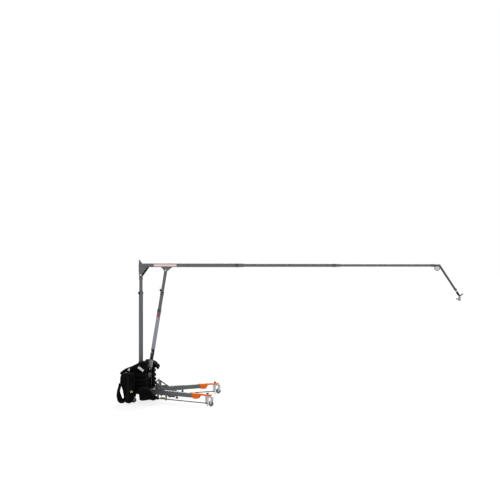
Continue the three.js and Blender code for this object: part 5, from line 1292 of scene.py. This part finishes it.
def lying_bag(name, node, low_edge, high_edge, seat, seat_span, middle_y, depth, seed):
    """A bag lying on a stack and hanging over one end of it: at each x its section fills the height between the low
    and high edges, flatter below, and its depth narrows to both ends by (1 - |2u - 1|^5)^(1/3)."""
    u = (1 - np.cos(np.linspace(0, np.pi, 150))) / 2
    x = low_edge[0][0] + (low_edge[-1][0] - low_edge[0][0]) * u
    lies = (x > seat_span[0]) & (x < seat_span[1])
    past_seat = (x > seat_span[1]) | (x < seat_span[0])
    low = np.where(lies, seat, np.minimum(smooth_between(low_edge, x, 5), seat + 0.1 * past_seat))
    high = smooth_between(high_edge, x, 7)
    half = np.clip(high - low, 0, 1) / 2
    half[[0, -1]] = 0
    deep = depth * np.clip(1 - np.abs(2 * u - 1) ** 5, 0, 1) ** (1 / 3) * (1 - 0.05 * np.sin(7 * u) ** 2)
    deep[[0, -1]] = 0
    middles = np.stack([x, middle_y + 0.003 * np.sin(9 * u), (low + high) / 2], 1)
    up = np.broadcast_to(Z, middles.shape)
    grid, worn = lofted(middles, deep, half, up, (0.56, 0.42), seed, 0.105, 0.012, (0.75, 1.0, 1.0), 112, Y)
    under = (grid[..., 2] < seat + 0.004) & lies[:, None]
    grid[..., 2] = np.where(under, seat, grid[..., 2])
    made = piece(name, Skin(BASE(grid)), bag_cloth, "chassis", node, worn=worn)
    edge_seams(name, grid, (0, middle_y, seat))
    return x, grid


def hanging_bag(name, path, left, right, fat, seed):
    """A pouch that hangs along a path of (y, z): left and right give its edges in x, and fat half its thickness, each
    by the length run along the path. A heavy foot is rounded by (1 - (1 - u)^4)^(1/4)."""
    path = np.asarray(path, float)
    run = np.concatenate([[0], np.cumsum(np.linalg.norm(np.diff(path, axis=0), axis=1))])
    a, b = smooth_between(left, run), smooth_between(right, run)
    near_end = np.clip(np.minimum(np.arange(len(run)), np.arange(len(run))[::-1]) / 14, 0, 1)
    taper = (1 - (1 - near_end) ** 4) ** 0.25
    half_x = (b - a) / 2 * (0.3 + 0.7 * taper) * (near_end > 0)
    half_n = smooth_between(fat, run) * (1 - (1 - near_end) ** 2) ** 0.5
    middles = np.stack([(a + b) / 2, path[:, 0], path[:, 1]], 1)
    ahead = np.gradient(path, axis=0)
    ahead /= np.linalg.norm(ahead, axis=1, keepdims=True)
    normals = np.stack([0 * run, ahead[:, 1], -ahead[:, 0]], 1)
    grid, worn = lofted(middles, half_x, half_n, normals, (0.75, 0.8), seed, 0.07, 0.009, (1, 1, 0.45))
    made = piece(name, Skin(BASE(grid), centre=BASE(middles[len(run) // 3])), bag_cloth, "chassis", "ballast_saddle",
                 worn=worn)
    edge_seams(name, grid, (middles[0, 0], path[0, 0], 0.22))
    return grid


def d_ring(name, place, size, finish, tab_cloth=webbing, lift=-0.0032):
    """A wire ring welded shut, with one flat side, held by a folded tab of webbing. It faces the place's x."""
    f = np.linspace(0, TAU, 72, endpoint=False)
    ring = place(np.stack([0 * f, size * np.cos(f), size * np.maximum(np.sin(f), -0.55)], 1))
    piece(name, bead(ring, size * 0.3), finish, "chassis")
    tab = np.linspace(-0.5, 1.5, 12) * size
    tab_line = place(np.stack([0 * tab + lift, 0 * tab, -tab], 1))
    piece(name + "_tab", ribbon(tab_line, place.axes[1], 2.5 * size, 0.0018), tab_cloth, "chassis")


NEAR_SEAT, FAR_SEAT = 0.5046, 0.5798
near_low = [(-0.327, 0.487), (-0.309, 0.466), (-0.278, 0.453), (-0.254, 0.466), (-0.240, 0.488), (-0.222, NEAR_SEAT),
            (0.142, NEAR_SEAT), (0.154, 0.530), (0.160, 0.600)]
near_high = [(-0.327, 0.487), (-0.300, 0.520), (-0.254, 0.555), (-0.200, 0.579), (-0.140, 0.602), (-0.054, 0.648),
             (-0.002, 0.677), (0.040, 0.694), (0.091, 0.703), (0.134, 0.699), (0.152, 0.678), (0.160, 0.600)]
cap_x, cap_grid = lying_bag("sandbag_draped_near", "ballast_cap_near", near_low, near_high, NEAR_SEAT,
                            (-0.222, 0.142), -0.1725, 0.1175, 23)
far_low = [(0.020, 0.624), (0.032, 0.595), (0.052, FAR_SEAT), (0.222, FAR_SEAT), (0.243, 0.568), (0.257, 0.522),
           (0.266, 0.496), (0.284, 0.502), (0.294, 0.528), (0.299, 0.560)]
far_high = [(0.020, 0.624), (0.048, 0.676), (0.104, 0.684), (0.160, 0.672), (0.212, 0.646), (0.272, 0.596),
            (0.292, 0.576), (0.299, 0.560)]
lying_bag("sandbag_draped_far", "ballast_cap_far", far_low, far_high, FAR_SEAT, (0.052, 0.222), 0.180, 0.1245, 31)

# A small bag hung low on the near side by a broad strap that is held between the stack's first two bags.
side_low = [(0.022, 0.235), (0.026, 0.178), (0.058, 0.152), (0.064, 0.070), (0.100, 0.054), (0.180, 0.060),
            (0.250, 0.068), (0.300, 0.058), (0.372, 0.084), (0.388, 0.112)]
side_high = [(0.022, 0.235), (0.048, 0.278), (0.110, 0.285), (0.215, 0.272), (0.268, 0.222), (0.296, 0.168),
             (0.350, 0.146), (0.388, 0.112)]
lying_bag("sandbag_side", "ballast_side_bag", side_low, side_high, 0.3, (9, 9), -0.446, 0.0530, 47)
run = np.linspace(0, 1, 30)
hanger_line = np.stack([0 * run + 0.104, -0.420 + 0.100 * run, 0.272 + 0.0068 * np.clip(2.2 * run, 0, 1)], 1)
piece("sandbag_side_hanger", ribbon(BASE(hanger_line), X, 0.088, 0.004), webbing, "chassis")

# A pale webbing strap stitched slantwise across the draped bag's near face, and a ring on its hanging end.
near_face = cap_grid[..., 1].min(1)
strap_x = np.linspace(0.008, 0.098, 30)
strap_line = np.stack([strap_x, np.interp(strap_x, cap_x, near_face) - 0.0026, np.linspace(0.603, 0.535, 30)], 1)
piece("sandbag_draped_strap", ribbon(BASE(strap_line), (0.6, 0, 0.8), 0.040, 0.0018), pale_webbing, "chassis")
wing_y = np.interp(-0.150, cap_x, near_face)
wing = BASE.at(-0.150, wing_y - 0.005, 0.561)
d_ring("sandbag_draped_ring", wing.facing(OUT, (0.2, 0, 1)), 0.0145, bright, pale_webbing, 0.0042)

# The saddlebag: a broad pouch whose flap lies on the stack, and a long narrow pouch beside it.
arc = np.linspace(0, np.pi / 2, 26)[1:]
pouch_path = np.concatenate([
    np.stack([np.full(90, -0.446), 0.008 + 0.457 * np.linspace(0, 1, 90) ** 0.92], 1),
    np.stack([-0.392 - 0.054 * np.cos(arc), 0.465 + 0.0487 * np.sin(arc)], 1),
    np.stack([np.linspace(-0.390, -0.297, 24), np.full(24, 0.5137)], 1)])
pouch_grid = hanging_bag(
    "sandbag_saddle_pouch", pouch_path,
    [(0, -0.120), (0.005, -0.172), (0.03, -0.224), (0.078, -0.220), (0.125, -0.206), (0.256, -0.232),
     (0.310, -0.258), (0.37, -0.276), (0.432, -0.276), (0.50, -0.246), (0.538, -0.228), (0.64, -0.226)],
    [(0, -0.100), (0.005, -0.060), (0.03, -0.038), (0.147, -0.020), (0.392, -0.004), (0.46, -0.012),
     (0.50, -0.030), (0.538, -0.036), (0.64, -0.036)],
    [(0, 0.046), (0.09, 0.0535), (0.28, 0.0525), (0.38, 0.043), (0.46, 0.020), (0.52, 0.0066), (0.64, 0.0062)], 7)
hanging_bag(
    "sandbag_saddle_long", np.stack([np.full(80, -0.446), 0.008 + 0.352 * np.linspace(0, 1, 80)], 1),
    [(0, -0.280), (0.032, -0.312), (0.125, -0.332), (0.235, -0.328), (0.300, -0.304), (0.352, -0.286)],
    [(0, -0.200), (0.020, -0.176), (0.066, -0.178), (0.094, -0.228), (0.200, -0.262), (0.280, -0.246),
     (0.352, -0.212)],
    [(0, 0.036), (0.07, 0.048), (0.2, 0.046), (0.33, 0.024)], 13)
pouch_face = lambda z: np.interp(z, pouch_grid[2:100, 66, 2], pouch_grid[2:100, :, 1].min(1)) - 0.003
strap_z = np.linspace(0.060, 0.470, 60)
strap_line = np.stack([np.full(60, -0.125), pouch_face(strap_z), strap_z], 1)
piece("sandbag_saddle_strap", ribbon(BASE(strap_line), X, 0.038, 0.002), webbing, "chassis")
RING_HEIGHT = 0.2150
ring_seat = BASE.at(-0.0620, pouch_face(RING_HEIGHT) - 0.002, RING_HEIGHT)
d_ring("sandbag_saddle_ring", ring_seat.facing(OUT, Z), 0.0155, yellow_zinc)


# ---------------------------------------------------------------- floor, light and camera

def studio_floor(name, level, glow, share):
    """A matt white floor. The camera sees it part lit by itself, so that it is white where no shadow falls, and
    shadows on it stay, but paler."""
    finish = Finish(name, "grey_paint", Roughness=1.0, Specular_IOR_Level=0.0)
    finish.set(Base_Color=(level, level, level))
    camera_ray = finish.node("ShaderNodeLightPath", output="Is Camera Ray")
    lit = finish.node("ShaderNodeEmission", {}, {"Color": (1, 1, 1), "Strength": glow})
    either = finish.node("ShaderNodeMixShader", {},
                         {0: camera_ray * share, 1: Value(finish, finish.shader.outputs[0]), 2: lit})
    end = next(n for n in finish.tree.nodes if n.type == "OUTPUT_MATERIAL")
    finish.feed(end.inputs["Surface"], either)
    return finish


FLOOR_REACH = 60.0
floor_mesh = bpy.data.meshes.new("floor")
floor_mesh.from_pydata([(x * FLOOR_REACH, y * FLOOR_REACH, 0) for x, y in ((-1, -1), (1, -1), (1, 1), (-1, 1))], [],
                       [(0, 1, 2, 3)])
floor = bpy.data.objects.new("floor", floor_mesh)
bpy.context.scene.collection.objects.link(floor)
floor_mesh.materials.append(studio_floor("studio_floor", 0.96, 1.12, 0.72).material)

# The camera, gloss and clear parts see white all round. The object is lit by a soft, dimmer sky.
world = bpy.data.worlds.new("studio")
bpy.context.scene.world = world
world.use_nodes = True
world.node_tree.nodes.clear()
sky = Nodes(world.node_tree)
camera_ray, gloss_ray, clear_ray = (sky.node("ShaderNodeLightPath", output=f"Is {kind} Ray")
                                    for kind in ("Camera", "Glossy", "Transmission"))
soft = sky.node("ShaderNodeBackground", {}, {"Color": (0.97, 0.985, 1.0), "Strength": 0.55})
white = sky.node("ShaderNodeBackground", {}, {"Color": (1, 1, 1), "Strength": 1.0})
either = sky.node("ShaderNodeMixShader", {}, {0: camera_ray.most(gloss_ray.most(clear_ray)), 1: soft, 2: white})
sky.node("ShaderNodeOutputWorld", {}, {"Surface": either})


def sun(name, place, energy, spread):
    """Sunlight from a place's side, as soft as its spread in degrees. It aims at a point 1 m over the origin."""
    light = bpy.data.lights.new(name, "SUN")
    light.energy, light.angle = energy, np.radians(spread)
    made = bpy.data.objects.new(name, light)
    bpy.context.scene.collection.objects.link(made)
    away = unit(np.asarray(place, float) - Z)
    side = unit(np.cross(Z, away))
    rows = np.stack([side, np.cross(away, side), away], 1)
    made.matrix_world = [[*row, at] for row, at in zip(rows, place)] + [[0, 0, 0, 1]]


sun("key", (-4, -7, 8), 1.35, 24)
sun("fill", (6, -6, 3), 0.45, 40)
sun("rim", (1, 9, 6), 0.4, 30)

EYE = BASE((2.7805, -13.94, 2.618))
EYE_TURN, EYE_SHIFT = np.radians(1.75), -0.0500
camera_data = bpy.data.cameras.new("camera")
camera_data.lens, camera_data.sensor_width = 57.5, 36.0
camera_data.shift_x = EYE_SHIFT  # keeps the picture nearly square to the boom, seen from right of its middle
camera_data.clip_end = 300.0
camera = bpy.data.objects.new("camera", camera_data)
bpy.context.scene.collection.objects.link(camera)
camera.location = EYE
camera.rotation_euler = (np.pi / 2, 0, EYE_TURN)
bpy.context.scene.camera = camera
bpy.context.scene.view_settings.view_transform = "Standard"
